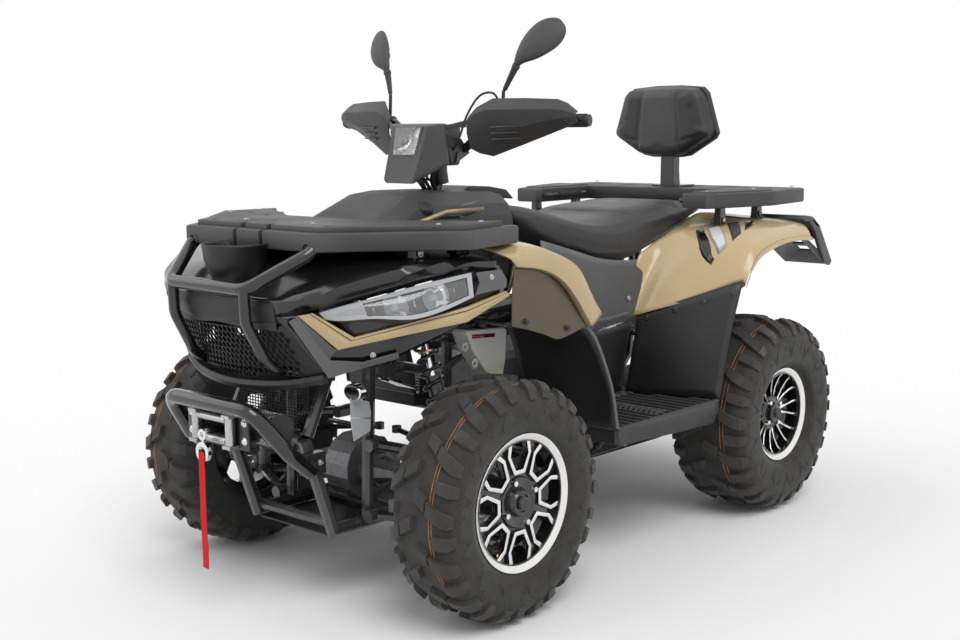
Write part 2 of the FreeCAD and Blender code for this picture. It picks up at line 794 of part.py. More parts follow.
def hook():
    """Hook on the end of the winch's wire."""
    x = val("hook_ahead")
    drum_face = FAIRLEAD - 31 + val("gap")
    wire = rod(Vector(drum_face, 0, 488.5), Vector(x, 0, 488.5), 3.5, 6)
    wires = AHEAD * HOOK_WIRE
    ring_middle = Vector(x, 0, 437)
    ring = rod(ring_middle - wires, ring_middle + wires, 24.5, 16)
    ring = ring.cut(rod(ring_middle - wires * 2, ring_middle + wires * 2, 13.5, 12))
    eye_middle = Vector(x, 0, 480)
    eye = rod(eye_middle - AHEAD * 4.5, eye_middle + AHEAD * 4.5, 14, 12)
    eye = eye.cut(rod(eye_middle - AHEAD * 9, eye_middle + AHEAD * 9, 6.5, 8))
    shank = rod(Vector(x, 0, 455), Vector(x, 0, 469), 4, 6)
    keep("winch_hook", fused([ring, eye, shank, wire]))


def strap():
    front, low, top = 1162, 145, 437
    back = f"{front} + Sizes.strap_thick"
    outline = rectangle(front, back, "-Sizes.strap_width / 2", "Sizes.strap_width / 2")
    padded(new_body("winch_strap"), outline, str(low), f"{top} - {low}")
    keep_body("winch_strap")


# Front bodywork

HOOD = [
    [(1098, -220, 790), (1104, -110, 800), (1106, 0, 803), (1104, 110, 800), (1098, 220, 790)],
    [(1032, -300, 832), (1030, -160, 862), (1030, 0, 870), (1030, 160, 862), (1032, 300, 832)],
    [(949, -380, 858), (940, -200, 898), (940, 0, 908), (940, 200, 898), (949, 380, 858)],
    [(796, -458, 880), (800, -240, 910), (800, 0, 918), (800, 240, 910), (796, 458, 880)],
    [(621, -488, 876), (620, -250, 914), (620, 0, 922), (620, 250, 914), (621, 488, 876)],
]


def front_hood():
    hood = skin(HOOD, val("panel_wall"), DOWN)
    keep("front_cowl", hood.cut(hoop_tubes(val("gap"))))


# The nose's flank runs from the ridge of the hood down to its lower lip
FLANK = [
    [(1092, 224, 788), (1080, 222, 770), (1066, 228, 745)],
    [(1034, 306, 826), (1010, 262, 740), (990, 268, 640)],
    [(946, 382, 852), (900, 330, 760), (872, 352, 662)],
    [(796, 462, 874), (758, 440, 800), (730, 462, 745)],
    [(625, 492, 870), (610, 484, 840), (601, 496, 804)],
]
LAMP_OUTLINE = [(1012, 787), (916, 822), (719, 862), (708, 806), (860, 768), (984, 764)]


def lamp_prism(grow):
    """The headlamp's outline pushed across the flank."""
    face = Part.Face(polygon([Vector(x, 150, z) for x, z in LAMP_OUTLINE]))
    if grow:
        face = face.makeOffset2D(grow, 2)
    return face.extrude(Vector(0, 420, 0))


def fascia():
    left = skin(FLANK, val("panel_wall"), INWARD)
    keep("front_fascia", pair(left.cut(lamp_prism(0)).cut(hoop_tubes(val("gap")))))


def headlamps():
    lens = skin(FLANK, 40, INWARD).common(lamp_prism(-val("gap")))
    keep("headlamps", pair(lens))


def front_fender():
    left = skin([
        [(612, 260, 925), (600, 400, 922), (580, 470, 905), (575, 506, 880), (572, 500, 860)],
        [(500, 260, 925), (490, 400, 922), (486, 470, 910), (480, 508, 880), (482, 484, 850)],
        [(380, 260, 900), (375, 400, 892), (372, 470, 880), (365, 508, 850), (372, 484, 815)],
        [(290, 260, 830), (285, 400, 822), (282, 480, 810), (275, 510, 780), (290, 490, 745)],
    ], val("panel_wall"), DOWN)
    keep("front_fenders", pair(left))


def side_panel():
    left = skin([
        [(570, 470, 852), (560, 462, 790), (545, 460, 715)],
        [(482, 478, 842), (478, 470, 770), (470, 466, 690)],
        [(372, 478, 808), (372, 474, 740), (375, 472, 668)],
        [(292, 484, 738), (290, 480, 710), (285, 478, 690)],
    ], val("panel_wall"), INWARD)
    keep("front_fenders", pair(left))


def front_liner():
    foot = val("footboard_top") + val("gap")
    left = skin([
        [(560, 215, 690), (555, 330, 688), (550, 462, 682)],
        [(420, 215, 655), (415, 330, 652), (410, 500, 650)],
        [(290, 215, 640), (285, 330, 638), (275, 515, 655)],
        [(222, 215, 520), (220, 330, 520), (214, 525, 520)],
        [(205, 215, foot), (203, 330, foot), (196, 528, foot)],
    ], val("panel_wall"), (-1, 0, 1))
    keep("inner_mudguards", pair(left))


def grille():
    corners = points((1066, -186, 758), (1066, 186, 758), (1000, 132, 608), (1000, -132, 608))
    plate = slab(corners, Vector(-12, 0, 5))
    cuts = []
    pitch, cell = 30.0, 13
    for row in range(4):
        for n in range(-6, 7):
            y = pitch * (n + 0.5 * (row % 2))
            z = 636 + row * pitch * 0.866
            limit = 112 + (z - 608) * 0.34
            if abs(y) > limit:
                continue
            turns = [math.radians(60 * k) for k in range(6)]
            ring = [Vector(950, y + cell * math.sin(turn), z + cell * math.cos(turn)) for turn in turns]
            cuts.append(slab(ring, Vector(220, 0, 0)))
    plate = plate.cut(Part.makeCompound(cuts))
    bosses = [stay(Vector(1036, sign * 141, 700), Vector(1100, sign * 141, 700), 7, hoop_tubes(val("gap")))
              for sign in (-1, 1)]
    keep("front_grille", fused([plate] + bosses))


def radiator():
    half = val("frame_side") - post_radius() - val("gap")
    core = block((880, -half, 478), (915, half, 600))
    keep("front_grille", core)


def console():
    """Cover over the tank and steering column."""
    stations = []
    for x, half, low, high in ((700, 205, 900, 966), (640, 195, 900, 990), (560, 168, 900, 1030),
                               (350, 150, 900, 1034), (160, 130, 900, 1022), (126, 110, 900, 1000)):
        stations.append(points((x, -half, low), (x, -half * 0.86, high - 12), (x, -half * 0.6, high),
                               (x, half * 0.6, high), (x, half * 0.86, high - 12), (x, half, low)))
    body = loft(stations)
    clear = rod(COLUMN_LOW, COLUMN_TOP + COLUMN_UP * 60, val("column_radius") + 14)
    edge = block((560, -260, 880), (628, 260, 924))
    keep("console", body.cut(clear).cut(edge).cut(under(HOOD)))


def footboards():
    high = val("footboard_top")
    board = plan_slab([(192, 240), (192, 530), (-322, 532), (-270, 240)], high - 46, high)
    hollow = plan_slab([(186, 246), (186, 524), (-314, 526), (-264, 246)], high - 60, high - 6)
    bridge = [block((x - 16, 246, high - 46), (x + 16, 524, high - 6)) for x in (110, -210)]
    board = board.cut(hollow)
    board = fused([board] + bridge)
    keep("footboards", pair(board))


def centre_cover():
    left = skin([
        [(105, 196, 925), (60, 196, 860), (-40, 214, 800),
         (-150, 240, 765), (-300, 252, 762), (-345, 256, 780)],
        [(120, 205, 800), (60, 215, 760), (-40, 230, 720),
         (-150, 246, 700), (-260, 256, 700), (-320, 260, 710)],
        [(140, 225, 640), (60, 235, 620), (-40, 244, 610),
         (-130, 250, 612), (-200, 256, 618), (-262, 262, 628)],
    ], val("panel_wall"), INWARD)
    keep("centre_covers", pair(left).cut(made("seat")))


def lower_cover():
    foot = val("footboard_top") + val("gap")
    left = skin([
        [(160, 228, 632), (60, 238, 614), (-40, 246, 604), (-130, 252, 606), (-250, 262, 620)],
        [(175, 224, 520), (60, 232, 510), (-40, 238, 505), (-130, 244, 505), (-235, 250, 510)],
        [(188, 222, foot), (60, 228, foot), (-40, 232, foot), (-130, 236, foot), (-228, 240, foot)],
    ], val("panel_wall"), INWARD)
    keep("inner_mudguards", pair(left))


def seat():
    """Long saddle with a raised rear."""
    stations = []
    for x, half, low, high in ((112, 100, 935, 984), (60, 150, 880, 980), (-40, 196, 826, 950),
                               (-150, 236, 788, 930), (-300, 256, 784, 930), (-420, 258, 826, 944),
                               (-560, 248, 872, 962), (-700, 222, 905, 958), (-736, 190, 915, 950)):
        # share of the half width, share of the height
        section = [(-0.8, 0.08), (-0.97, 0.28), (-1.0, 0.5), (-0.92, 0.8), (-0.7, 0.95), (0.0, 1.0)]
        section += [(-wide, tall) for wide, tall in reversed(section[:-1])]
        stations.append([Vector(x, half * wide, low + (high - low) * tall) for wide, tall in section])
    keep("seat", loft(stations))


REAR_FENDER = [
    [(-262, 272, 632), (-333, 410, 684), (-422, 540, 738)],
    [(-315, 270, 710), (-375, 412, 762), (-452, 546, 792)],
    [(-400, 290, 815), (-452, 425, 848), (-525, 548, 826)],
    [(-500, 305, 880), (-562, 440, 893), (-650, 538, 846)],
    [(-660, 320, 905), (-702, 450, 898), (-752, 534, 850)],
    [(-830, 330, 905), (-840, 455, 896), (-855, 528, 842)],
]


def rear_fender():
    keep("rear_fenders", pair(skin(REAR_FENDER, val("panel_wall"), DOWN)))


def rear_liner():
    foot = val("footboard_top") + val("gap")
    left = skin([
        [(-262, 272, 622), (-333, 410, 674), (-420, 540, 728)],
        [(-244, 262, 510), (-285, 400, 535), (-352, 536, 560)],
        [(-233, 252, foot), (-272, 400, foot), (-318, 530, foot)],
    ], val("panel_wall"), (1, 0, 0))
    keep("inner_mudguards", pair(left))


def tail():
    back = -val("tail_behind")
    cover = side_slab([(-858, 842), (-858, 902), (-905, 918), (-985, 892), (back + 5, 770), (back, 740.3),
                       (-1020, 740.3), (-960, 850)], 330, 500)
    keep("tail_covers", pair(cover))
    flap = plan_slab([(-800, 330), (-800, 520), (back, 508), (back, 330)], 734, 740)
    keep("rear_flaps", pair(flap))
    bridge = block((-1000, -329.7, 800), (-904, 329.7, 880))
    keep("rear_flaps", bridge)


# Racks and backrest

def both_sides(outline):
    """Close a left outline with its mirror image."""
    return outline + [(x, -y) for x, y in reversed(outline)]


def front_rack():
    top = val("front_rack_top")
    low = top - val("front_rack_skirt")
    outline = both_sides([(1000, 60), (990, 165), (1000, 250), (930, 300), (780, 440), (720, 500),
                          (470, 440), (470, 250), (712, 222)])
    plate = plan_slab(outline, low, top)
    inner = both_sides([(985, 55), (976, 160), (930, 270), (770, 428), (712, 486),
                        (482, 430), (482, 262), (724, 234)])
    plate = plate.cut(plan_slab(inner, low - 5, top - val("rack_wall")))
    lid = plan_slab(both_sides([(985, 50), (930, 150), (800, 170), (718, 140)]), top, top + val("lid_rise"))
    keep("front_rack", fused([plate, lid]).cut(hoop_tubes(18)))
    below = under(HOOD)
    legs = []
    # The hood's flats aren't the same on both sides, so each leg is cut by itself
    for x, y in ((790, 372), (642, 372), (790, -372), (642, -372)):
        legs.append(rod(Vector(x, y, 860), Vector(x, y, top - val("rack_wall") - val("gap")), 11).cut(below))
    keep("rack_legs", Part.makeCompound(legs))


def rear_rack():
    """A deck behind the backrest with an arm along each side of the seat."""
    top = val("rear_rack_top")
    low = top - val("rear_rack_skirt")
    outline = both_sides([(-740, 285), (-480, 285), (-467, 300), (-467, 377), (-720, 455), (-980, 430)])
    plate = plan_slab(outline, low, top)
    handles = []
    for sign in (-1, 1):
        handles.append(tube(points((-500, sign * 292, low + 14), (-500, sign * 258, low + 14),
                                   (-700, sign * 258, low + 14), (-700, sign * 292, low + 14)), 11, 22))
    keep("rear_rack", fused([plate] + handles))
    below = under(REAR_FENDER)
    legs = []
    for x, y in ((-560, 370), (-780, 370)):
        legs.append(rod(Vector(x, y, 850), Vector(x, y, low - val("gap")), 12).cut(below))
    keep("rack_legs", Part.makeCompound([pair(leg) for leg in legs]))


def backrest():
    """Six-sided pad on a flat post."""
    front, thick = -750, 82
    outline = [(60, 1030), (105, 1044), (192, 1094), (197, 1122), (154, 1310), (128, 1334)]
    outline += [(-y, z) for y, z in reversed(outline)]
    middle_high = 1182
    sections = []
    # distance behind the front, share of the outline
    for behind, share in ((0, 0.86), (10, 0.96), (24, 1.0), (thick - 6, 1.0), (thick, 0.95)):
        sections.append([Vector(front - behind, y * share, middle_high + (z - middle_high) * share)
                         for y, z in outline])
    keep("backrest_pad", loft(sections))
    back = f"{front - thick} - Sizes.gap"
    rack_top = "Sizes.rear_rack_top + Sizes.gap"
    post_top, foot_thick = 1250, 6
    body = new_body("backrest_post")
    padded(body, rectangle(f"{back} - 16", back, -26, 26), rack_top, f"{post_top} - ({rack_top})")
    padded(body, rectangle(f"{back} - 60", f"{back} + 20", -60, 60), rack_top, str(foot_thick))
    keep_body("backrest_post")


# Steering

BAR_HIGH = val("bar_height")
STEM_TOP = Vector(318, 0, BAR_HIGH - 87)
BAR_LEFT = points((235, val("bar_half") + 14, BAR_HIGH), (300, 190, BAR_HIGH), (STEM_TOP.x, 80, STEM_TOP.z))


def handlebar():
    column = Part.makeCylinder(val("column_radius"), (COLUMN_TOP - COLUMN_LOW).Length, COLUMN_LOW, COLUMN_UP)
    bar = tube(BAR_LEFT + [Vector(p.x, -p.y, p.z) for p in reversed(BAR_LEFT)], val("bar_radius"), 40)
    stem = rod(COLUMN_TOP - COLUMN_UP * 30, STEM_TOP, 20)
    pitman_at = COLUMN_LOW + COLUMN_UP * 4
    reach = val("pitman_arm")
    back = COLUMN_UP.cross(SIDE) * -1
    pitman = slab([
        pitman_at + Vector(0, -26, 0) + back * 20, pitman_at + Vector(0, 26, 0) + back * 20,
        pitman_at + Vector(0, 40, 0) - back * reach, pitman_at + Vector(0, -40, 0) - back * reach,
    ], COLUMN_UP * 8)
    keep("handlebar", fused([column, bar, stem, pitman]))
    grip = rod(Vector(257, 360, BAR_HIGH), Vector(238, val("bar_half"), BAR_HIGH), 17)
    keep("grips", pair(grip.cut(tube(BAR_LEFT, val("bar_radius") + val("gap"), 40))))


def pod():
    # ahead, half width and drop below the bar, at the top and at the foot of each face
    faces = (((440, 66, 12), (500, 60, 162)), ((325, 105, 17), (325, 100, 127)))
    outlines = []
    for (x, half, drop), (low_x, low_half, low_drop) in faces:
        high, low = BAR_HIGH - drop, BAR_HIGH - low_drop
        outlines.append(points((x, -half, high), (x, half, high), (low_x, low_half, low), (low_x, -low_half, low)))
    body = loft(outlines)
    keep("headlamp_pod", body.cut(made("handlebar")))


def guards():
    high = BAR_HIGH
    end = val("bar_half")
    tip = end + 6
    left = loft([
        points((390, 205, high + 63), (345, 250, high - 92), (325, 250, high - 92), (370, 205, high + 63)),
        points((335, 400, high + 50), (305, 400, high - 32), (285, 400, high - 32), (315, 400, high + 50)),
        points((300, tip, high + 30), (285, tip, high), (265, tip, high), (280, tip, high + 30)),
    ])
    tab = block((224, end + 5, high - 14), (292, end + 11, high + 26))
    guard = fused([left, tab]).cut(tube(BAR_LEFT, val("bar_radius") + val("gap"), 40))
    keep("hand_guards", pair(guard))


def mirrors():
    high = BAR_HIGH
    foot = Vector(293.5, 217, high)
    clamp = rod(foot - SIDE * 13, foot + SIDE * 13, 17)
    stem = tube([foot, foot + UP * 88, Vector(272, 248, high + 150)], 5, 12)
    # back and front, near and far side with its height above the bar
    stations = ((262, 276, 236, 144, 262, 130), (232, 262, 300, 248, 356, 188), (206, 226, 350, 280, 392, 256))
    head = loft([
        points((back, near, high + top), (back, far, high + low), (front, far, high + low), (front, near, high + top))
        for back, front, near, top, far, low in stations
    ])
    mirror = fused([stem, head, clamp]).cut(tube(BAR_LEFT, val("bar_radius") + val("gap"), 40))
    keep("mirrors", pair(mirror))


def build():
    wheels()
    keep("knuckle_left", knuckle())
    keep("knuckle_right", mirrored(knuckle()))
    keep("tie_rod_left", tie_rod())
    keep("tie_rod_right", mirrored(tie_rod()))
    front_suspension()
    rear_suspension()
    shocks()
    drive_line()
    engine()
    skid_plate()
    exhaust()
    bumper_hoop()
    winch_guard()
    winch()
    fairlead()
    hook()
    strap()
    front_hood()
    fascia()
    front_fender()
    side_panel()
    front_liner()
    grille()
    radiator()
    headlamps()
    console()
    footboards()
    seat()
    centre_cover()
    lower_cover()
    rear_fender()
    rear_liner()
    tail()
    front_rack()
    rear_rack()
    backrest()
    handlebar()
    pod()
    guards()
    mirrors()
    frame()


build()
middle = (val("hook_ahead") + HOOK_WIRE - val("tail_behind")) / 2
parts_made = []
for label in shapes:
    piece = bodies.get(label)
    if piece is None:
        piece = doc.addObject("Part::Feature", label.title().replace("_", ""))
        piece.Shape = made(label)
    piece.Label = label
    piece.Placement = Placement(Vector(-middle, 0, 0), Rotation()).multiply(piece.Placement)
    parts_made.append(piece)
doc.recompute()

os.makedirs("parts", exist_ok=True)
for piece in parts_made:
    if "Invalid" in piece.State or "Error" in piece.State:
        raise SystemExit(f"{piece.Label} failed")
    if piece.Shape.isNull() or not piece.Shape.isValid():
        raise SystemExit(f"{piece.Label} is not valid")
    piece.Shape.exportStep(f"parts/{piece.Label}.step")
print(len(parts_made), "sub-parts written")
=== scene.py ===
import bpy
import bmesh
import json
import math
from mathutils import Euler, Matrix, Vector

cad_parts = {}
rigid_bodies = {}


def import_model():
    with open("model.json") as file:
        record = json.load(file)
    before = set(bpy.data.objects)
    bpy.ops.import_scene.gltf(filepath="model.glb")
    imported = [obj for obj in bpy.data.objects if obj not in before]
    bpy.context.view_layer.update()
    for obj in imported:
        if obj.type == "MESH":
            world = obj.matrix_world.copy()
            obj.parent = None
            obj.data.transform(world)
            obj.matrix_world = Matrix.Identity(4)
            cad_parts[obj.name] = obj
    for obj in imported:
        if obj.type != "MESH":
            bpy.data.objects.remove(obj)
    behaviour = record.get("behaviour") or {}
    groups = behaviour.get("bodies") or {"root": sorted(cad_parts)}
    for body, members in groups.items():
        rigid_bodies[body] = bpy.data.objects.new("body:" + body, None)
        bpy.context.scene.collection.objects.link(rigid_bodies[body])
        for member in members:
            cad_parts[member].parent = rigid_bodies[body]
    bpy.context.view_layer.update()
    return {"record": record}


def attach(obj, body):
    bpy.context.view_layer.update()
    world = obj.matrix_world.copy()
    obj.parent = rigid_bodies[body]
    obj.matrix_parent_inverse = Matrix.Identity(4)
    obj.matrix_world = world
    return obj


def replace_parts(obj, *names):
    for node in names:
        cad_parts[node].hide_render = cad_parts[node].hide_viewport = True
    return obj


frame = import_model()

# Millimetres from under the middle of the wheelbase, as in the part's source
MIDDLE = 55.75
AXLE = 645
HUB_HIGH = 305
TYRE_RADIUS = HUB_HIGH
BAR_HIGH = 1222
FOOT_HIGH = 402
GRAB_HIGH = 972
WHEELS = {
    "front_left": (AXLE, 497, 1), "front_right": (AXLE, 497, -1),
    "rear_left": (-AXLE, 453, 1), "rear_right": (-AXLE, 453, -1),
}
WHEEL_BODY = {"front_left": "wheel_fl", "front_right": "wheel_fr", "rear_left": "wheel_rl",
              "rear_right": "wheel_rr"}
# Half the tyre's width, the rim's radius, half the rim's width, and how far its face lies inside the lip
WHEEL_SIZES = {"front": (100, 172, 86, 26), "rear": (132, 146, 105, 44)}
# Upper and lower eye of each spring on the left
SHOCKS = {"front": ((AXLE, 226, 742), (AXLE, 336, 424)), "rear": ((-AXLE, 205, 742), (-AXLE, 288, 424))}
EYE = (3041, 2605, 1219)
EYE_TURN, EYE_TILT, EYE_ROLL = 222.6, 9.02, -0.58


def at(x, y, z):
    """A place of the drawing in metres of the scene."""
    return Vector(((x - MIDDLE) / 1000, y / 1000, z / 1000))


def spots(*places):
    """Places of the drawing as points of the scene."""
    return [at(*place) for place in places]


def steps(first, last, count):
    """Evenly spaced numbers from the first to the last."""
    return [first + (last - first) * n / (count - 1) for n in range(count)]


def turns(count, first=0.0):
    """Angles evenly spaced round a full turn."""
    return [first + 2 * math.pi * n / count for n in range(count)]


# Materials

made = {}


class Shader:
    """A node tree around one Principled shader."""

    def __init__(self, name, colour, rough, metal=0.0, coat=0.0, sheen=0.0):
        self.mat = bpy.data.materials.new(name)
        self.mat.use_nodes = True
        self.tree = self.mat.node_tree
        self.out = self.tree.nodes["Material Output"]
        self.main = self.tree.nodes["Principled BSDF"]
        self.colour = colour
        self.put("Base Color", (*colour, 1))
        self.put("Roughness", rough)
        self.put("Metallic", metal)
        self.put("Coat Weight", coat)
        self.put("Coat Roughness", 0.06)
        self.put("Sheen Weight", sheen)
        self.place = self.node("ShaderNodeTexCoord").outputs["Object"]
        self.normal = None

    def put(self, socket, value):
        self.main.inputs[socket].default_value = value

    def node(self, kind, **settings):
        made_node = self.tree.nodes.new(kind)
        for key, value in settings.items():
            if key in made_node.inputs:
                made_node.inputs[key].default_value = value
            else:
                setattr(made_node, key, value)
        return made_node

    def join(self, output, target):
        self.tree.links.new(output, target)

    def noise(self, scale, detail=4.0, rough=0.55):
        """Cloud texture of this scale."""
        texture = self.node("ShaderNodeTexNoise", Scale=scale, Detail=detail, Roughness=rough)
        self.join(self.place, texture.inputs["Vector"])
        return texture.outputs["Fac"]

    def cells(self, scale):
        """Cell texture for leather grain."""
        texture = self.node("ShaderNodeTexVoronoi", Scale=scale)
        self.join(self.place, texture.inputs["Vector"])
        return texture.outputs["Distance"]

    def wave(self, direction, scale, distortion=0.0):
        """Even bands across one direction."""
        texture = self.node("ShaderNodeTexWave", bands_direction=direction, Scale=scale, Distortion=distortion)
        self.join(self.place, texture.inputs["Vector"])
        return texture.outputs["Fac"]

    def span(self, value, low, high, to_low=0.0, to_high=1.0):
        """Stretch the part of a value between low and high over another range."""
        ramp = self.node("ShaderNodeMapRange")
        for socket, number in (("From Min", low), ("From Max", high), ("To Min", to_low), ("To Max", to_high)):
            ramp.inputs[socket].default_value = number
        self.join(value, ramp.inputs["Value"])
        return ramp.outputs["Result"]

    def mix(self, amount, first, second):
        """Blend two colours, or a colour socket with a colour."""
        blend = self.node("ShaderNodeMix", data_type="RGBA")
        self.join(amount, blend.inputs["Factor"])
        for socket, colour in ((6, first), (7, second)):
            if hasattr(colour, "is_output"):
                self.join(colour, blend.inputs[socket])
            else:
                blend.inputs[socket].default_value = (*colour, 1)
        return blend.outputs[2]

    def paint(self, socket):
        self.join(socket, self.main.inputs["Base Color"])

    def bump(self, height, distance, strength=1.0):
        """Add relief on top of what is there."""
        relief = self.node("ShaderNodeBump", Distance=distance, Strength=strength)
        self.join(height, relief.inputs["Height"])
        if self.normal:
            self.join(self.normal, relief.inputs["Normal"])
        self.normal = relief.outputs["Normal"]
        self.join(self.normal, self.main.inputs["Normal"])

    def round_edges(self, radius):
        """Catch light on the sharp edges of a solid."""
        bevel = self.node("ShaderNodeBevel", samples=4, Radius=radius)
        self.normal = bevel.outputs["Normal"]
        self.join(self.normal, self.main.inputs["Normal"])

    def cloudy(self, scale, spread):
        """Slow change of tone over the surface."""
        dark = tuple(c * (1 - spread) for c in self.colour)
        light = tuple(min(1.0, c * (1 + spread)) for c in self.colour)
        shade = self.mix(self.span(self.noise(scale), 0.3, 0.7), dark, light)
        self.paint(shade)
        return shade

    def dull(self, scale, low, high):
        """Let the roughness wander between two values."""
        self.join(self.span(self.noise(scale), 0.3, 0.7, low, high), self.main.inputs["Roughness"])

    def worn(self, base, light, low=0.52, high=0.6):
        """Lighten the ridges, where hands and boots rub."""
        edge = self.node("ShaderNodeNewGeometry").outputs["Pointiness"]
        self.paint(self.mix(self.span(edge, low, high), base, light))


def moulded(name, colour, rough=0.5, grain=0.00012):
    """Moulded plastic with a fine grain and rubbed edges."""
    s = Shader(name, colour, rough)
    s.round_edges(0.0022)
    shade = s.cloudy(5.0, 0.12)
    s.worn(shade, tuple(min(1, c * 1.9 + 0.01) for c in colour))
    s.dull(9.0, rough - 0.07, rough + 0.09)
    s.bump(s.noise(2600.0, 3.0), grain)
    return s.mat


def glossy(name, colour, rough=0.16, coat=0.6):
    """Painted plastic under a clear coat."""
    s = Shader(name, colour, rough, coat=coat)
    s.round_edges(0.002)
    s.cloudy(3.0, 0.05)
    s.dull(14.0, rough - 0.03, rough + 0.07)
    s.bump(s.noise(90.0, 2.0), 0.00018)
    return s.mat


def metal(name, colour, rough, scale=60.0, relief=0.00008, spread=0.12):
    """Bare metal with a fine brushed relief."""
    s = Shader(name, colour, rough, metal=1.0)
    s.round_edges(0.0012)
    s.cloudy(scale / 6, spread)
    s.dull(scale, rough * 0.75, rough * 1.35)
    s.bump(s.noise(scale * 14, 3.0), relief)
    return s.mat


def coated_steel(name, colour, rough=0.22):
    """Powder coat with its slight orange peel."""
    s = Shader(name, colour, rough, coat=0.4)
    s.round_edges(0.0015)
    shade = s.cloudy(7.0, 0.15)
    s.worn(shade, (0.07, 0.07, 0.07), 0.54, 0.64)
    s.dull(20.0, rough - 0.05, rough + 0.1)
    s.bump(s.noise(420.0, 2.0), 0.0002)
    return s.mat


def tyre_rubber():
    """Dusty rubber: lighter where it was touched, browner in cloudy patches."""
    s = Shader("tyre_rubber", (0.026, 0.0245, 0.023), 0.78, sheen=0.15)
    shade = s.cloudy(9.0, 0.22)
    dusty = s.mix(s.span(s.noise(26.0, 8.0, 0.7), 0.52, 0.75, 0.0, 0.5), shade, (0.058, 0.05, 0.041))
    s.worn(dusty, (0.09, 0.083, 0.076), 0.53, 0.66)
    s.dull(30.0, 0.66, 0.92)
    s.bump(s.noise(900.0, 6.0, 0.7), 0.0004)
    return s.mat


def machined():
    """Bright turned face of a rim."""
    s = Shader("machined_alloy", (0.82, 0.81, 0.79), 0.2, metal=1.0)
    s.round_edges(0.001)
    s.cloudy(20.0, 0.06)
    s.dull(40.0, 0.14, 0.28)
    s.bump(s.noise(3000.0, 2.0), 0.00003)
    return s.mat


def vinyl(name, colour):
    """Seat cover with leather grain."""
    s = Shader(name, colour, 0.42, sheen=0.1)
    s.cloudy(8.0, 0.15)
    s.dull(12.0, 0.36, 0.52)
    s.bump(s.cells(420.0), 0.00035)
    s.bump(s.noise(60.0, 3.0), 0.0006, 0.5)
    return s.mat


def webbing():
    """Woven strap: ribs across and yarns along."""
    s = Shader("red_webbing", (0.75, 0.002, 0.006), 0.7)
    ribs = s.wave("Z", 130.0, 0.4)
    yarns = s.wave("Y", 300.0, 0.3)
    s.paint(s.mix(s.span(ribs, 0.2, 0.9), (0.6, 0.0, 0.004), (0.92, 0.003, 0.01)))
    s.bump(ribs, 0.0005)
    s.bump(yarns, 0.0003)
    return s.mat


def grip_rubber():
    """Soft rubber with rings round the bar."""
    s = Shader("grip_rubber", (0.018, 0.018, 0.018), 0.75)
    s.cloudy(30.0, 0.2)
    s.bump(s.wave("Y", 80.0), 0.0012)
    s.bump(s.noise(1200.0), 0.0002)
    return s.mat


def gold_line():
    """Worn coloured line on a tyre."""
    s = Shader("gold_line", (0.45, 0.2, 0.07), 0.6)
    s.cloudy(40.0, 0.4)
    s.bump(s.noise(500.0), 0.0001)
    return s.mat


def clear_lens():
    """Polycarbonate lamp cover."""
    s = Shader("clear_lens", (0.95, 0.96, 0.97), 0.03, coat=0.3)
    s.put("Transmission Weight", 0.92)
    s.put("IOR", 1.4)
    s.bump(s.noise(35.0, 1.0), 0.0002)
    s.dull(50.0, 0.02, 0.06)
    return s.mat


def milky_plastic():
    """Bottle plastic that lets light through, fuller below."""
    s = Shader("milky_plastic", (0.62, 0.64, 0.58), 0.35)
    s.put("Subsurface Weight", 0.25)
    s.put("Subsurface Radius", (0.01, 0.01, 0.008))
    fill = s.node("ShaderNodeSeparateXYZ")
    s.join(s.place, fill.inputs["Vector"])
    s.paint(s.mix(s.span(fill.outputs["Z"], 0.585, 0.6), (0.56, 0.6, 0.47), (0.66, 0.67, 0.64)))
    s.bump(s.noise(220.0), 0.0003)
    return s.mat


def palette():
    """Every material by the name that the pieces use."""
    made.update({
        "tyre": tyre_rubber(),
        "gold_line": gold_line(),
        "machined": machined(),
        "chrome": metal("chrome", (0.8, 0.8, 0.81), 0.08, 30.0, 0.00003, 0.04),
        "steel": metal("brushed_steel", (0.45, 0.45, 0.46), 0.3),
        "cast": metal("cast_alloy", (0.24, 0.24, 0.25), 0.5, 80.0, 0.0003),
        "brass": metal("brass", (0.72, 0.5, 0.2), 0.25),
        "rim_black": glossy("rim_black", (0.008, 0.008, 0.009), 0.14, 0.7),
        "gloss_black": glossy("gloss_black", (0.007, 0.007, 0.008), 0.2, 0.45),
        "tan": glossy("tan_gloss", (0.56, 0.42, 0.22), 0.25, 0.4),
        # Tan plastic painted dark brown: painted shade for the front side panel, which is really tan
        "shade_tan": glossy("shade_tan", (0.095, 0.066, 0.034), 0.32, 0.3),
        "grey": moulded("grey_plastic", (0.031, 0.031, 0.033), 0.5),
        "mid_grey": moulded("mid_grey_plastic", (0.05, 0.05, 0.052), 0.5),
        "light_grey": moulded("light_grey_plastic", (0.085, 0.085, 0.088), 0.5),
        "black": moulded("black_plastic", (0.009, 0.009, 0.009), 0.42),
        "coated": coated_steel("coated_steel", (0.009, 0.009, 0.010)),
        "gloss_steel": glossy("gloss_steel", (0.008, 0.008, 0.009), 0.12, 0.6),
        "zinc": metal("zinc_plate", (0.5, 0.5, 0.5), 0.33),
        "mirror": metal("mirror_glass", (0.85, 0.86, 0.88), 0.03, 20.0, 0.00001, 0.02),
        "vinyl": vinyl("seat_vinyl", (0.022, 0.022, 0.023)),
        "vinyl_light": vinyl("pad_vinyl", (0.05, 0.05, 0.052)),
        "webbing": webbing(),
        "grip": grip_rubber(),
        "lens": clear_lens(),
        "silver": glossy("silver_trim", (0.5, 0.51, 0.53), 0.3, 0.2),
        "bottle": milky_plastic(),
        "red_glass": glossy("red_lens", (0.35, 0.01, 0.01), 0.12, 0.8),
        "white_paint": glossy("white_paint", (0.7, 0.7, 0.7), 0.3, 0.3),
        "orange_paint": glossy("orange_paint", (0.75, 0.17, 0.02), 0.3, 0.3),
    })


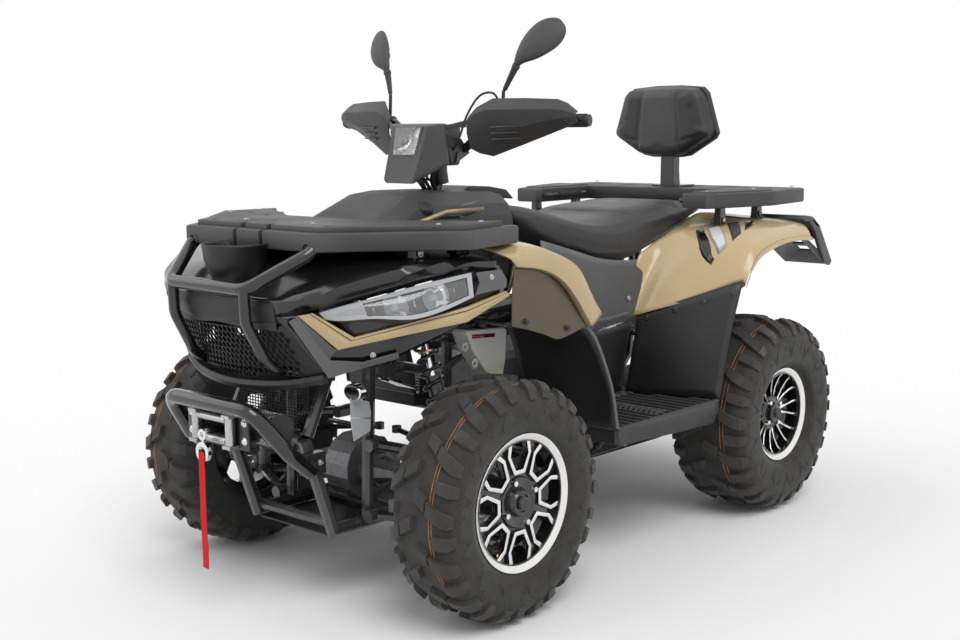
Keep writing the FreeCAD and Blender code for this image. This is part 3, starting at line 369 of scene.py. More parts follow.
NODE_LOOKS = {
    "tyre": "tyre", "rim": "rim_black", "cast_grey": "cast", "black_steel": "coated",
    "engine_alloy": "cast", "skid_alloy": "black", "dark_exhaust": "steel", "shock_black": "coated",
    "winch_black": "coated", "bright_steel": "chrome", "red_webbing": "webbing",
    "gloss_black": "gloss_black", "tan_paint": "tan", "black_plastic": "black",
    "grey_plastic": "grey", "lamp_lens": "lens", "seat_vinyl": "vinyl", "grip_rubber": "grip",
}


def dress_nodes():
    """Give each solid the material of its slot."""
    for entry in frame["record"]["subparts"]:
        obj = bpy.data.objects[entry["node"]]
        look = made[NODE_LOOKS[entry["material_slot"]]]
        if not obj.material_slots:
            obj.data.materials.append(look)
        for slot in obj.material_slots:
            slot.link = "OBJECT"
            slot.material = look


# Mesh helpers

def add(name, verts, faces, look, slot, body="chassis", smooth=35, bevel=0.0, thick=0.0, rounds=0):
    """A piece from points in metres, with its body and finish; slot is not used."""
    mesh = bpy.data.meshes.new(name)
    mesh.from_pydata([tuple(v) for v in verts], [], faces)
    mesh.validate()
    work = bmesh.new()
    work.from_mesh(mesh)
    bmesh.ops.recalc_face_normals(work, faces=work.faces)
    work.to_mesh(mesh)
    work.free()
    return finish(bpy.data.objects.new(name, mesh), look, body, smooth, bevel, thick, rounds)


def finish(obj, look, body="chassis", smooth=35, bevel=0.0, thick=0.0, rounds=0):
    """Material, shading, modifiers and body of a piece."""
    mesh = obj.data
    bpy.context.collection.objects.link(obj)
    if not mesh.materials:
        mesh.materials.append(made[look])
    mesh.shade_smooth()
    mesh.set_sharp_from_angle(angle=math.radians(smooth))
    if thick:
        wall = obj.modifiers.new("wall", "SOLIDIFY")
        wall.thickness = thick
        wall.offset = -1
    if bevel:
        edge = obj.modifiers.new("edge", "BEVEL")
        edge.width = bevel
        edge.segments = 2
        edge.limit_method = "ANGLE"
        edge.angle_limit = math.radians(30)
        edge.harden_normals = True
    if rounds:
        soft = obj.modifiers.new("soft", "SUBSURF")
        soft.levels = rounds
        soft.render_levels = rounds
    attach(obj, body)
    return obj


def flipped(verts):
    """The mirror image of points, on the other side of the middle."""
    return [Vector((v.x, -v.y, v.z)) for v in verts]


def sides(name, verts, faces, *rest, **more):
    """A left piece and its twin on the right."""
    return [add(name + "_left", verts, faces, *rest, **more),
            add(name + "_right", flipped(verts), faces, *rest, **more)]


def curve_points(places, count):
    """A smooth line through places, as this many points evenly spaced."""
    places = [Vector(place) for place in places]
    ends = [2 * places[0] - places[1]] + places + [2 * places[-1] - places[-2]]
    fine = []
    for a, b, c, d in zip(ends, ends[1:], ends[2:], ends[3:]):
        for n in range(12):
            t = n / 12
            fine.append(0.5 * (2 * b + (c - a) * t + (2 * a - 5 * b + 4 * c - d) * t * t
                               + (3 * b - a - 3 * c + d) * t * t * t))
    fine.append(places[-1])
    lengths = [0.0]
    for p, q in zip(fine, fine[1:]):
        lengths.append(lengths[-1] + (q - p).length)
    result = []
    index = 0
    for n in range(count):
        goal = lengths[-1] * n / (count - 1)
        while index < len(fine) - 2 and lengths[index + 1] < goal:
            index += 1
        step = lengths[index + 1] - lengths[index]
        part = (goal - lengths[index]) / step if step else 0
        result.append(fine[index].lerp(fine[index + 1], min(1, max(0, part))))
    return result


def grid_faces(rows, cols, closed=False):
    """Four-sided faces between rows of points; closed joins the last column to the first."""
    faces = []
    for r in range(rows - 1):
        for c in range(cols if closed else cols - 1):
            d = (c + 1) % cols
            faces.append((r * cols + c, r * cols + d, (r + 1) * cols + d, (r + 1) * cols + c))
    return faces


def band(lines, count=24, between=4):
    """Points and faces of a sheet stretched through two or more lines."""
    lines = [curve_points(line, count) for line in lines]
    columns = [curve_points([line[c] for line in lines], (len(lines) - 1) * between + 1) for c in range(count)]
    rows = len(columns[0])
    verts = [columns[c][r] for r in range(rows) for c in range(count)]
    return verts, grid_faces(rows, count)


def flat_plate(outlines, thick, bevel=0.0):
    """Points and faces of a flat plate with holes, in its own x and y, z through its thickness."""
    curve = bpy.data.curves.new("plate", "CURVE")
    curve.dimensions = "2D"
    curve.fill_mode = "BOTH"
    curve.extrude = thick / 2 - bevel
    curve.bevel_depth = bevel
    curve.bevel_resolution = 1
    curve.offset = -bevel
    for outline in outlines:
        line = curve.splines.new("POLY")
        line.points.add(len(outline) - 1)
        for point, (x, y) in zip(line.points, outline):
            point.co = (x, y, 0, 1)
        line.use_cyclic_u = True
    temp = bpy.data.objects.new("plate", curve)
    mesh = bpy.data.meshes.new_from_object(temp)
    bpy.data.objects.remove(temp)
    work = bmesh.new()
    work.from_mesh(mesh)
    bmesh.ops.remove_doubles(work, verts=work.verts, dist=1e-6)
    verts = [v.co.copy() for v in work.verts]
    work.verts.index_update()
    faces = [tuple(v.index for v in face.verts) for face in work.faces]
    work.free()
    bpy.data.meshes.remove(mesh)
    return verts, faces


def scaled(outlines, x_zero=0):
    """Outlines in millimetres as metres."""
    return [[((x - x_zero) / 1000, y / 1000) for x, y in line] for line in outlines]


def circle(radius, count=32, cx=0.0, cy=0.0, turn=0.0):
    """Places round a circle in a plane."""
    return [(cx + radius * math.cos(a), cy + radius * math.sin(a)) for a in turns(count, turn)]


def merged(parts):
    """Join several (verts, faces) into one."""
    verts, faces = [], []
    for more, new in parts:
        base = len(verts)
        verts += list(more)
        faces += [tuple(i + base for i in face) for face in new]
    return verts, faces


def both(verts, faces):
    """A left shape together with its mirror image."""
    return merged([(verts, faces), (flipped(verts), faces)])


def solid(rings):
    """Points and faces of a body through closed rings of points, capped at both ends."""
    count = len(rings[0])
    verts = [spot for ring in rings for spot in ring]
    faces = grid_faces(len(rings), count, closed=True)
    return verts, faces + [tuple(range(count))[::-1], tuple(range(len(verts) - count, len(verts)))]


def ring(centre, side, other, radius, count):
    """A circle of points in the plane of two directions."""
    return [centre + (side * math.cos(a) + other * math.sin(a)) * radius for a in turns(count)]


def pipe(line, radius, count=16, end_radius=None):
    """Points and faces of a round tube along a line, capped at both ends."""
    last = len(line) - 1
    growth = 0 if end_radius is None else (end_radius - radius) / last
    side = (line[1] - line[0]).orthogonal().normalized()
    rings = []
    for n, spot in enumerate(line):
        along = (line[min(n + 1, last)] - line[max(n - 1, 0)]).normalized()
        side = (side - along * side.dot(along)).normalized()
        rings.append(ring(spot, side, along.cross(side), radius + growth * n, count))
    return solid(rings)


def bar(start, end, radius, count=12, end_radius=None):
    """Points and faces of a straight round bar, or of a cone."""
    return pipe([start, end], radius, count, end_radius)


def hose(places, radius, count, points):
    """Points and faces of a tube along a smooth curve through places."""
    return pipe(curve_points(places, points), radius, count)


def cap_screw(spot, normal, radius, high):
    """Points and faces of a dome-headed screw on its washer, with a socket."""
    normal = normal.normalized()
    side = normal.orthogonal().normalized()
    other = normal.cross(side)
    shape = [(1.5, 0.0), (1.5, 0.12), (1.0, 0.15), (1.0, 0.75), (0.8, 1.0), (0.5, 1.0), (0.5, 0.4)]
    verts, faces = solid([ring(spot + normal * lift * high, side, other, size * radius, 12)
                          for size, lift in shape])
    underside = 12 * (len(shape) - 1)
    return verts, faces[:underside] + faces[underside + 1:]


def screw_heads(places, normal, radius=0.006, high=0.003):
    """Points and faces of like screws at places in millimetres."""
    return merged([cap_screw(at(*place), Vector(normal), radius, high) for place in places])


# Camera, light and floor

def camera():
    """The photograph's viewpoint: a 50 mm lens fitted to the wheels."""
    data = bpy.data.cameras.new("camera")
    data.lens = 50.0
    data.sensor_width = 36.0
    data.shift_x = 0.0135
    data.shift_y = 0.015
    eye = bpy.data.objects.new("camera", data)
    eye.location = at(*EYE)
    look = Euler((math.radians(90 - EYE_TILT), 0, math.radians(EYE_TURN - 90)), "XYZ").to_matrix()
    eye.rotation_euler = (look @ Matrix.Rotation(math.radians(EYE_ROLL), 3, "Z")).to_euler()
    bpy.context.collection.objects.link(eye)
    bpy.context.scene.camera = eye


def sun(name, strength, spread, tilt, turn):
    """A soft far lamp."""
    lamp = bpy.data.lights.new(name, "SUN")
    lamp.energy = strength
    lamp.angle = math.radians(spread)
    obj = bpy.data.objects.new(name, lamp)
    obj.rotation_euler = (math.radians(tilt), 0, math.radians(turn))
    bpy.context.collection.objects.link(obj)


def seen_directly(tree):
    """1 for what the camera sees itself, in a mirror or through glass."""
    path = tree.nodes.new("ShaderNodeLightPath")
    seen = path.outputs["Is Camera Ray"]
    for kind in ("Is Glossy Ray", "Is Transmission Ray"):
        larger = tree.nodes.new("ShaderNodeMath")
        larger.operation = "MAXIMUM"
        tree.links.new(seen, larger.inputs[0])
        tree.links.new(path.outputs[kind], larger.inputs[1])
        seen = larger.outputs[0]
    return seen


def studio():
    """White surroundings, soft lamps and a pale floor."""
    world = bpy.data.worlds.new("studio")
    bpy.context.scene.world = world
    world.use_nodes = True
    tree = world.node_tree
    back = tree.nodes["Background"]
    back.inputs["Color"].default_value = (1, 1, 1, 1)
    level = tree.nodes.new("ShaderNodeMapRange")
    level.inputs["To Min"].default_value = 0.55
    level.inputs["To Max"].default_value = 1.0
    tree.links.new(seen_directly(tree), level.inputs["Value"])
    tree.links.new(level.outputs["Result"], back.inputs["Strength"])
    sun("key", 1.3, 35, 38, 150)
    sun("fill", 0.6, 60, 50, 40)
    plane = bpy.data.meshes.new("floor")
    far = 30
    plane.from_pydata([(-far, -far, 0), (far, -far, 0), (far, far, 0), (-far, far, 0)], [], [(0, 1, 2, 3)])
    floor = bpy.data.objects.new("floor", plane)
    bpy.context.collection.objects.link(floor)
    pale = bpy.data.materials.new("pale_floor")
    pale.use_nodes = True
    nodes = pale.node_tree
    main = nodes.nodes["Principled BSDF"]
    main.inputs["Roughness"].default_value = 0.9
    main.inputs["Specular IOR Level"].default_value = 0.0
    mix = nodes.nodes.new("ShaderNodeMix")
    mix.data_type = "RGBA"
    mix.inputs[6].default_value = (0.75, 0.75, 0.75, 1)
    mix.inputs[7].default_value = (1.0, 1.0, 1.0, 1)
    nodes.links.new(seen_directly(nodes), mix.inputs["Factor"])
    nodes.links.new(mix.outputs[2], main.inputs["Base Color"])
    plane.materials.append(pale)
    bpy.context.scene.view_settings.view_transform = "Standard"


# Wheels

PITCHES = 14
BLOCK_HIGH = 15.0
BLOCK_ROOT = -3.0
RIB_WIDE, RIB_HIGH = 4.0, 1.6
TREAD = [
    # (place on the profile, slant, width, share of the height) of each block's stations
    [(0.01, -4, 31, 1.0), (0.10, 6, 34, 1.0), (0.18, 16, 34, 1.0)],
    [(0.205, 22, 34, 1.0), (0.28, 34, 36, 1.0), (0.36, 42, 39, 0.95), (0.43, 46, 38, 0.8),
     (0.50, 46, 30, 0.45)],
    [(0.27, -30, 29, 1.0), (0.35, -26, 32, 0.95), (0.43, -23, 33, 0.8), (0.53, -22, 27, 0.4)],
]
# (distance round the wall, share of its height) of each rib's corners
WALL_RIBS = [[(-20, 0.30), (-2, 0.62), (16, 0.30)], [(-26, 0.18), (-2, 0.80), (22, 0.18)],
             [(24, 0.12), (34, 0.50), (44, 0.12)]]


def sizes(place):
    """Half width, rim radius, rim half width and dish of a wheel."""
    return WHEEL_SIZES[place.split("_")[0]]


def wheel_spot(place, side, radius, angle):
    """A point of a wheel: millimetres outward from its middle, radius and angle."""
    x, y, out = WHEELS[place]
    return at(x + radius * math.sin(angle), out * (y + side), HUB_HIGH + radius * math.cos(angle))


def turned(place, profile, count=96):
    """Points and faces of a (side, radius) profile spun round a wheel's axle."""
    verts = [wheel_spot(place, side, radius, a) for side, radius in profile for a in turns(count)]
    return verts, grid_faces(len(profile), count, closed=True)


def wall_line(half, rim_radius, lip):
    """The carcass from the middle of the tread to the bead, as (side, radius)."""
    crown = TYRE_RADIUS
    line = [(0, crown - 16), (half * 0.3, crown - 17), (half * 0.55, crown - 19), (half * 0.8, crown - 27),
            (half * 0.93, crown - 42), (half * 0.985, crown - 66), (half * 0.985, (crown + rim_radius) / 2 - 8),
            (half * 0.95, rim_radius + 24), (lip + 4, rim_radius + 11), (lip - 2, rim_radius + 4),
            (lip - 9, rim_radius - 8)]
    return [(v.y, v.z) for v in curve_points([(0, s, r) for s, r in line], 40)]


def tyre_block(place, profile, side, angle, stations):
    """One tread block that follows the carcass between two places of its profile."""
    rings = []
    for share, slant, thick, lift in stations:
        index = share * (len(profile) - 1)
        low = min(int(index), len(profile) - 2)
        (s0, r0), (s1, r1) = profile[low:low + 2]
        s = s0 + (s1 - s0) * (index - low)
        r = r0 + (r1 - r0) * (index - low)
        size = math.hypot(s1 - s0, r1 - r0)
        top = lift * BLOCK_HIGH
        rings.append([wheel_spot(place, side * (s - (r1 - r0) / size * rise), r + (s1 - s0) / size * rise,
                                 angle + (slant + shift * thick) / r)
                      for shift, rise in ((-0.5, BLOCK_ROOT), (-0.42, top), (0.42, top), (0.5, BLOCK_ROOT))])
    return blocky(rings)


def blocky(rings):
    """A row of open four-point sections with a face at each end; its underside stays open."""
    verts = [spot for section in rings for spot in section]
    ends = [(0, 1, 2, 3), tuple(range(len(verts) - 4, len(verts)))]
    return verts, grid_faces(len(rings), 4) + ends


def wall_place(profile, radius):
    """How far out the side wall lies at this radius."""
    for (s0, r0), (s1, r1) in zip(profile, profile[1:]):
        if r1 <= radius <= r0 and s0 > 40:
            return s0 + (s1 - s0) * (r0 - radius) / (r0 - r1)


def wall_rib(place, profile, angle, path):
    """A raised line on the side wall through (distance round the wall, radius) places."""
    x, y, out = WHEELS[place]
    line = []
    for along, radius in path:
        turn = angle + along / radius
        line.append(Vector((math.sin(turn) * radius, wall_place(profile, radius), math.cos(turn) * radius)))
    rings = []
    for n, spot in enumerate(line):
        ahead = line[min(n + 1, len(line) - 1)] - line[max(n - 1, 0)]
        ahead.y = 0
        across = ahead.cross(Vector((0, 1, 0))).normalized() * RIB_WIDE / 2
        section = [(spot + across * shift, rise)
                   for shift, rise in ((-1.0, -1.0), (-0.6, RIB_HIGH), (0.6, RIB_HIGH), (1.0, -1.0))]
        rings.append([at(x + p.x, out * (y + p.y + rise), HUB_HIGH + p.z) for p, rise in section])
    return blocky(rings)


def tyre(place):
    """Carcass, three kinds of tread block, side ribs and two coloured lines."""
    half, rim_radius, lip = sizes(place)[:3]
    profile = wall_line(half, rim_radius, lip)
    parts = [turned(place, [(-s, r) for s, r in reversed(profile[1:])] + profile, 120)]
    low, high = rim_radius + 22, TYRE_RADIUS - 52
    for angle in turns(PITCHES):
        for side, shift in ((1, 0), (-1, math.pi / PITCHES)):
            parts += [tyre_block(place, profile, side, angle + shift, stations) for stations in TREAD]
        for path in WALL_RIBS:
            rib = [(along, low + (high - low) * (1 - share)) for along, share in path]
            parts.append(wall_rib(place, profile, angle, rib))
    for inset in (14, 20):
        bead = [(lip + side, rim_radius + inset + rise) for side, rise in ((2, 0), (5, 1.5), (2, 3))]
        parts.append(turned(place, bead))
    body = WHEEL_BODY[place]
    piece = add("tyre_" + place + "_tread", *merged(parts), "tyre", "tyre", body, smooth=32, bevel=0.0016)
    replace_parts(piece, "tyre_" + place)
    lines = []
    for share, deep in ((0.42, 17.2), (0.50, 18.2)):
        s, r = half * share, TYRE_RADIUS - deep
        lines.append(turned(place, [(s, r - 1.5), (s, r + 0.6), (s + 1.6, r + 0.5), (s + 1.6, r - 1.6)], 120))
    add("tyre_" + place + "_line", *merged(lines), "gold_line", "tyre", body)


def sector_plate(name, place, outlines, level, thick, look, bevel=0.0012, count=1, top=None):
    """Plates in the wheel's plane, repeated round the axle; their top may be bright."""
    x, y, out = WHEELS[place]
    centre = at(x, out * (y + level), HUB_HIGH)
    base, polys = flat_plate(scaled(outlines), thick / 1000, bevel)
    parts = []
    for turn in turns(count):
        cos, sin = math.cos(turn), math.sin(turn)
        parts.append(([centre + Vector((v.x * cos + v.y * sin, out * v.z, v.y * cos - v.x * sin))
                       for v in base], polys))
    obj = add(name, *merged(parts), look, "rim", WHEEL_BODY[place], smooth=30)
    if top:
        obj.data.materials.append(made[top])
        for face in obj.data.polygons:
            face.material_index = int(face.normal.y * out > 0.9)


def barrel(place):
    """Outer shell of a rim with its bright lip, brake disc and drum."""
    radius, half, dish = sizes(place)[1:]
    body = WHEEL_BODY[place]
    name = "rim_" + place
    seat = radius - 18
    shell = [(half - 3, radius - 3), (half - 8, seat - 2), (half * 0.5, seat - 6), (half * 0.35, seat - 21),
             (-half * 0.36, seat - 21), (-half * 0.5, seat - 6), (8 - half, seat - 6), (2 - half, radius - 6),
             (-half, radius), (4 - half, radius), (12 - half, seat), (-half * 0.5, seat - 2),
             (-half * 0.36, seat - 17), (half * 0.36, seat - 17), (half * 0.5, seat - 1)]
    piece = add(name + "_barrel", *turned(place, shell), "rim_black", "rim", body)
    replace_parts(piece, name)
    lip = [(half - 10, seat - 1), (half - 4, seat + 4), (half - 2, radius - 7), (half, radius - 3),
           (half + 0.5, radius), (half - 3, radius + 0.5), (half - 7, radius - 4), (half - 10, seat + 4)]
    add(name + "_lip", *turned(place, lip), "machined", "rim", body)
    disc = [circle(88, 48), circle(52, 32)] + [circle(4, 10, cx, cy) for cx, cy in circle(70, 12)]
    sector_plate(name + "_disc", place, disc, -32, 4, "steel", 0.0004)
    drum = [(-36, 16), (-36, 50), (half - dish - 14, 44), (half - dish - 8, 40)]
    add(name + "_drum", *turned(place, drum, 40), "cast", "rim", body, thick=0.003)


def rim_middle(place, hub, cap, nuts):
    """Hub, hexagonal cap (level, radius, thickness) and four nuts (level, radius, first turn)."""
    body = WHEEL_BODY[place]
    add("rim_" + place + "_hub", *turned(place, hub, 48), "rim_black", "rim", body)
    level, radius, thick = cap
    sector_plate("rim_" + place + "_cap", place, [circle(radius, 6, turn=0.3)], level, thick, "grey", 0.003)
    level, radius, first = nuts
    heads = [bar(wheel_spot(place, level, radius, a), wheel_spot(place, level + 14, radius, a), 0.0085, 6,
                 0.0075)
             for a in turns(4, first)]
    add("rim_" + place + "_nuts", *merged(heads), "chrome", "rim", body, bevel=0.001)


def front_rim(place):
    """Rim with eight dark windows, each in a bright-faced frame."""
    half, dish = sizes(place)[2:]
    barrel(place)
    frame_line = [(45, 161), (40, 147), (43.5, 119), (20, 71), (-20, 71), (-43.5, 119), (-40, 147), (-45, 161),
                  (-28, 165), (-27, 148), (-33, 119), (-13.5, 82), (13.5, 82), (33, 119), (27, 148), (28, 165)]
    window = [(30, 146), (34, 119), (14, 80), (-14, 80), (-34, 119), (-30, 146), (-30, 158), (30, 158)]
    windows = [[(a * math.cos(turn) + b * math.sin(turn), b * math.cos(turn) - a * math.sin(turn))
                for a, b in window]
               for turn in turns(8)]
    name = "rim_" + place
    sector_plate(name + "_spokes", place, [circle(165, 96)] + windows, half - dish, 12, "rim_black")
    sector_plate(name + "_frames", place, [frame_line], half - 18, 13, "rim_black", 0.0014, 8, "machined")
    hub = [(half - 22, 66), (half - 15, 62), (half - 15, 50), (half - 19, 44), (half - 19, 38), (half - 8, 34),
           (half - 2, 30), (half - 2, 23), (half - 6, 21), (half - 6, 0.5)]
    rim_middle(place, hub, (half + 1, 19, 14), (half - 17, 57, 0.13 * math.pi))
    valve_at, valve_turn = math.hypot(88, 112), math.atan2(88, -112)
    valve = [wheel_spot(place, half - 34 + shift, valve_at, valve_turn) for shift in (0, 26)]
    add(name + "_valve", *bar(*valve, 0.004, 10), "brass", "rim", WHEEL_BODY[place], bevel=0.0008)


def rear_rim(place):
    """Deep rim with eight pairs of thin bright spokes."""
    half, dish = sizes(place)[2:]
    barrel(place)
    face_at = half - dish
    pairs, dark = [], []
    for turn in turns(8):
        for lean in (-1, 1):
            layers = []
            for level in (7, -9):
                for radius, lift, share in ((46, 0, 0.9), (84, 4, 0.8), (112, 12, 0.75), (129, 24, 0.95)):
                    middle = turn + lean * (0.11 + (radius - 46) / 83 * 0.09)
                    layers += [wheel_spot(place, face_at + lift + level, radius, middle + reach / radius)
                               for reach in (-5.2 * share, 5.2 * share)]
            pairs.append((layers[:8], grid_faces(4, 2)))
            edge = [0, 2, 4, 6, 7, 5, 3, 1]
            walls = [(a, b, b + 8, a + 8) for a, b in zip(edge, edge[1:] + edge[:1])]
            dark.append((layers, walls + [tuple(8 + i for i in face) for face in grid_faces(4, 2)]))
    body = WHEEL_BODY[place]
    add("rim_" + place + "_spoke_faces", *merged(pairs), "machined", "rim", body, thick=0.0006)
    add("rim_" + place + "_spokes", *merged(dark), "rim_black", "rim", body)
    hub = [(face_at - 12, 60), (face_at + 4, 56), (face_at + 8, 48), (face_at + 8, 34), (face_at + 20, 30),
           (face_at + 24, 24), (face_at + 24, 0.5)]
    rim_middle(place, hub, (face_at + 28, 17, 12), (face_at + 6, 43, 0.2 * math.pi))


def wheels():
    """Tyre and rim at all four corners."""
    for place in WHEELS:
        tyre(place)
        if place.startswith("front"):
            front_rim(place)
        else:
            rear_rim(place)


# Bodywork

def creased(lines):
    """Points and faces of a sheet whose lines keep their corners."""
    return [spot for line in lines for spot in line], grid_faces(len(lines), len(lines[0]))


def between_lines(first, second, share, out=Vector((0, 0, 0))):
    """The line at this share of the way from one line to another, moved by out."""
    return [a.lerp(b, share) + out for a, b in zip(first, second)]


def hood():
    """Gloss cover from ridge to ridge, rolled over to the lamps' top edges."""
    left = [
        spots((1088, 206, 778), (1016, 268, 786), (985, 308, 802), (920, 358, 820), (830, 418, 846),
              (719, 471, 869), (622, 492, 864)),
        spots((1097, 212, 806), (1032, 312, 836), (949, 382, 862), (885, 430, 879), (796, 463, 885),
              (700, 482, 882), (621, 491, 877)),
        spots((1096, 196, 815), (1020, 292, 848), (938, 360, 876), (876, 404, 891), (792, 436, 899),
              (700, 452, 899), (621, 462, 894)),
        spots((1100, 120, 814), (1010, 180, 868), (930, 210, 893), (870, 220, 902), (790, 230, 908),
              (700, 235, 911), (621, 240, 912)),
    ]
    centre = spots((1102, 0, 812), (1010, 0, 880), (930, 0, 902), (870, 0, 910), (790, 0, 915), (700, 0, 918),
                   (621, 0, 920))
    lines = left + [centre] + [flipped(line) for line in reversed(left)]
    piece = add("hood", *band(lines, 30, 5), "gloss_black", "gloss_black", thick=0.004, smooth=60)
    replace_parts(piece, "front_cowl")


LAMP_TOP = curve_points(spots((1012, 272, 786), (981, 312, 801), (916, 362, 819), (826, 422, 845),
                              (710, 476, 867)), 41)
LAMP_LOW = curve_points(spots((1000, 280, 770), (972, 306, 766), (925, 366, 770), (860, 424, 766),
                              (791, 453, 779), (706, 480, 808)), 41)


def lamp_spot(along, down, out):
    """A place on the left lamp: shares of its length and height, metres outward."""
    last = len(LAMP_TOP) - 1
    n = min(last - 1, int(along * last))
    part = along * last - n
    top = LAMP_TOP[n].lerp(LAMP_TOP[n + 1], part)
    low = LAMP_LOW[n].lerp(LAMP_LOW[n + 1], part)
    normal = (LAMP_TOP[n + 1] - LAMP_TOP[n]).cross(low - top).normalized()
    if normal.y < 0:
        normal = -normal
    return top.lerp(low, down) + normal * out


def lamp_grid(alongs, downs, out):
    """Points and faces over the lamp; out gives the metres outward at each pair of shares."""
    verts = [lamp_spot(a, d, out(a, d)) for d in downs for a in alongs]
    return verts, grid_faces(len(downs), len(alongs))


def reflector(along, wide, deep):
    """A deep bowl across one cell of the lamp, and its bulb."""
    middle = lamp_spot(along, 0.5, 0)
    side = (lamp_spot(along + 0.02, 0.5, 0) - lamp_spot(along - 0.02, 0.5, 0)).normalized()
    high = lamp_spot(along, 0.1, 0) - lamp_spot(along, 0.9, 0)
    back = side.cross(high.normalized())
    if back.y > 0:
        back = -back
    rings, count = 9, 28
    verts = []
    for row in range(rings):
        share = math.sin(math.pi / 2 * (1 - row / rings))
        depth = deep * (1 - math.cos(math.pi / 2 * row / rings)) ** 0.6 + 0.004
        for a in turns(count):
            square = 1 / max(abs(math.cos(a)), abs(math.sin(a))) ** 0.45
            across = (side * math.cos(a) * wide + high * 0.46 * math.sin(a)) * share * square
            verts.append(middle + across + back * depth)
    faces = grid_faces(rings, count, closed=True) + [tuple(range((rings - 1) * count, rings * count))]
    bulb = bar(middle + back * (deep + 0.002), middle + back * (deep * 0.45), 0.009, 16, 0.0075)
    return (verts, faces), bulb


def lamp_border():
    """Silver border, wide at the lamp's pointed end."""
    edge = steps(0, 0.035, 3) + steps(0.06, 0.94, 30) + steps(0.965, 1, 3)
    verts, faces = lamp_grid(edge, [0, 0.07, 0.15, 0.5, 0.86, 0.93, 1], lambda a, d: 0.004)
    wide = len(edge)
    kept = [f for f in faces if f[0] // wide in (0, 1, 4, 5) or not 9 < f[0] % wide < wide - 3]
    sides("lamp_border", verts, kept, "silver", "lamp_lens", thick=0.006, bevel=0.0012)


def lamp_cover():
    """Clear cover that bulges a little."""
    def bulge(along, down):
        across = min(1, max(0, (down - 0.13) / 0.75))
        return 0.001 + 0.006 * math.sin(math.pi * along) ** 0.5 * math.sin(math.pi * across)

    cover = lamp_grid(steps(0.03, 0.97, 30), steps(0.13, 0.88, 8), bulge)
    pieces = sides("lamp_cover", *cover, "lens", "lamp_lens", thick=0.0025, smooth=60)
    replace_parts(pieces[0], "headlamps")


def lamp_housing():
    """Black walls that taper inward, and the back behind the bowls."""
    deep = -0.05
    hole = []
    for depth, grow in ((-0.002, 0.0), (deep, 0.03)):
        near, far = 0.03 + grow, 0.97 - grow
        edge = [(a, 0.12 + grow) for a in steps(near, far, 24)] + [(far, d) for d in steps(0.2, 0.8, 4)]
        edge += [(a, 0.89 - grow) for a in steps(far, near, 24)] + [(near, d) for d in steps(0.8, 0.2, 4)]
        hole.append([lamp_spot(a, d, depth) for a, d in edge])
    walls = (hole[0] + hole[1], grid_faces(2, len(hole[0]), closed=True))
    back = lamp_grid(steps(0.05, 0.95, 20), steps(0.13, 0.88, 4), lambda a, d: deep)
    sides("lamp_housing", *merged([walls, back]), "black", "lamp_lens")


def headlamp_units():
    """Border, clear cover, black housing, three bright bowls and the ribs between them."""
    lamp_border()
    lamp_cover()
    lamp_housing()
    bowls, bulbs = zip(*[reflector(along, wide, 0.038)
                         for along, wide in ((0.2, 0.026), (0.47, 0.03), (0.74, 0.034))])
    sides("lamp_bowls", *merged(bowls), "chrome", "lamp_lens", smooth=60)
    sides("lamp_bulbs", *merged(bulbs), "silver", "lamp_lens")
    ribs = []
    for along in (0.335, 0.605, 0.9):
        spine = [lamp_spot(along, d, -0.004 - 0.03 * math.sin(math.pi * d)) for d in steps(0.12, 0.88, 8)]
        ribs.append(hose(spine, 0.0028, 6, 12))
    sides("lamp_ribs", *merged(ribs), "chrome", "lamp_lens")


def flank():
    """The nose's side: pocket under the lamp, gold strip, black wedge and grey lip."""
    lines = [
        spots((1088, 206, 778), (1012, 268, 778), (1000, 280, 770), (972, 306, 766), (925, 366, 770),
              (860, 424, 766), (791, 453, 779), (706, 480, 808), (618, 490, 840)),
        spots((1082, 216, 764), (1000, 262, 752), (968, 296, 752), (915, 356, 758), (850, 408, 757),
              (706, 470, 800), (608, 490, 826)),
        spots((1072, 226, 752), (985, 268, 712), (945, 306, 708), (910, 344, 716), (858, 380, 726),
              (720, 458, 762), (605, 488, 806)),
        spots((1064, 228, 740), (990, 262, 640), (950, 292, 640), (910, 322, 648), (851, 362, 668),
              (721, 460, 744), (601, 488, 799)),
    ]
    pieces = sides("flank", *band(lines, 36, 5), "gloss_black", "gloss_black", thick=0.004, smooth=50)
    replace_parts(pieces[0], "front_fascia")
    gold_strip()
    nose_trim()


def gold_strip():
    """Folded strip along the lamp and round the black wedge, with a fine dark line in it."""
    top = spots((1031, 270, 788), (948, 322, 725), (865, 393, 752), (720, 472, 786), (611, 501, 815))
    low = spots((1060, 251, 781), (976, 291, 695), (867, 392, 724), (721, 471, 748), (600, 501, 803))
    out = Vector((0.003, 0.005, 0))
    profile = ((0.0, -1), (0.03, 1), (0.5, 1.6), (0.97, 1), (1.0, -1))
    strip = creased([between_lines(top, low, share, out * lift) for share, lift in profile])
    sides("gold_strip", *strip, "tan", "tan_paint", thick=0.003, bevel=0.0012)
    line = creased([between_lines(top, low, 0.2, out * 1.55), between_lines(top, low, 0.25, out * 1.62)])
    sides("gold_strip_line", *line, "gloss_black", "gloss_black", thick=0.0004)


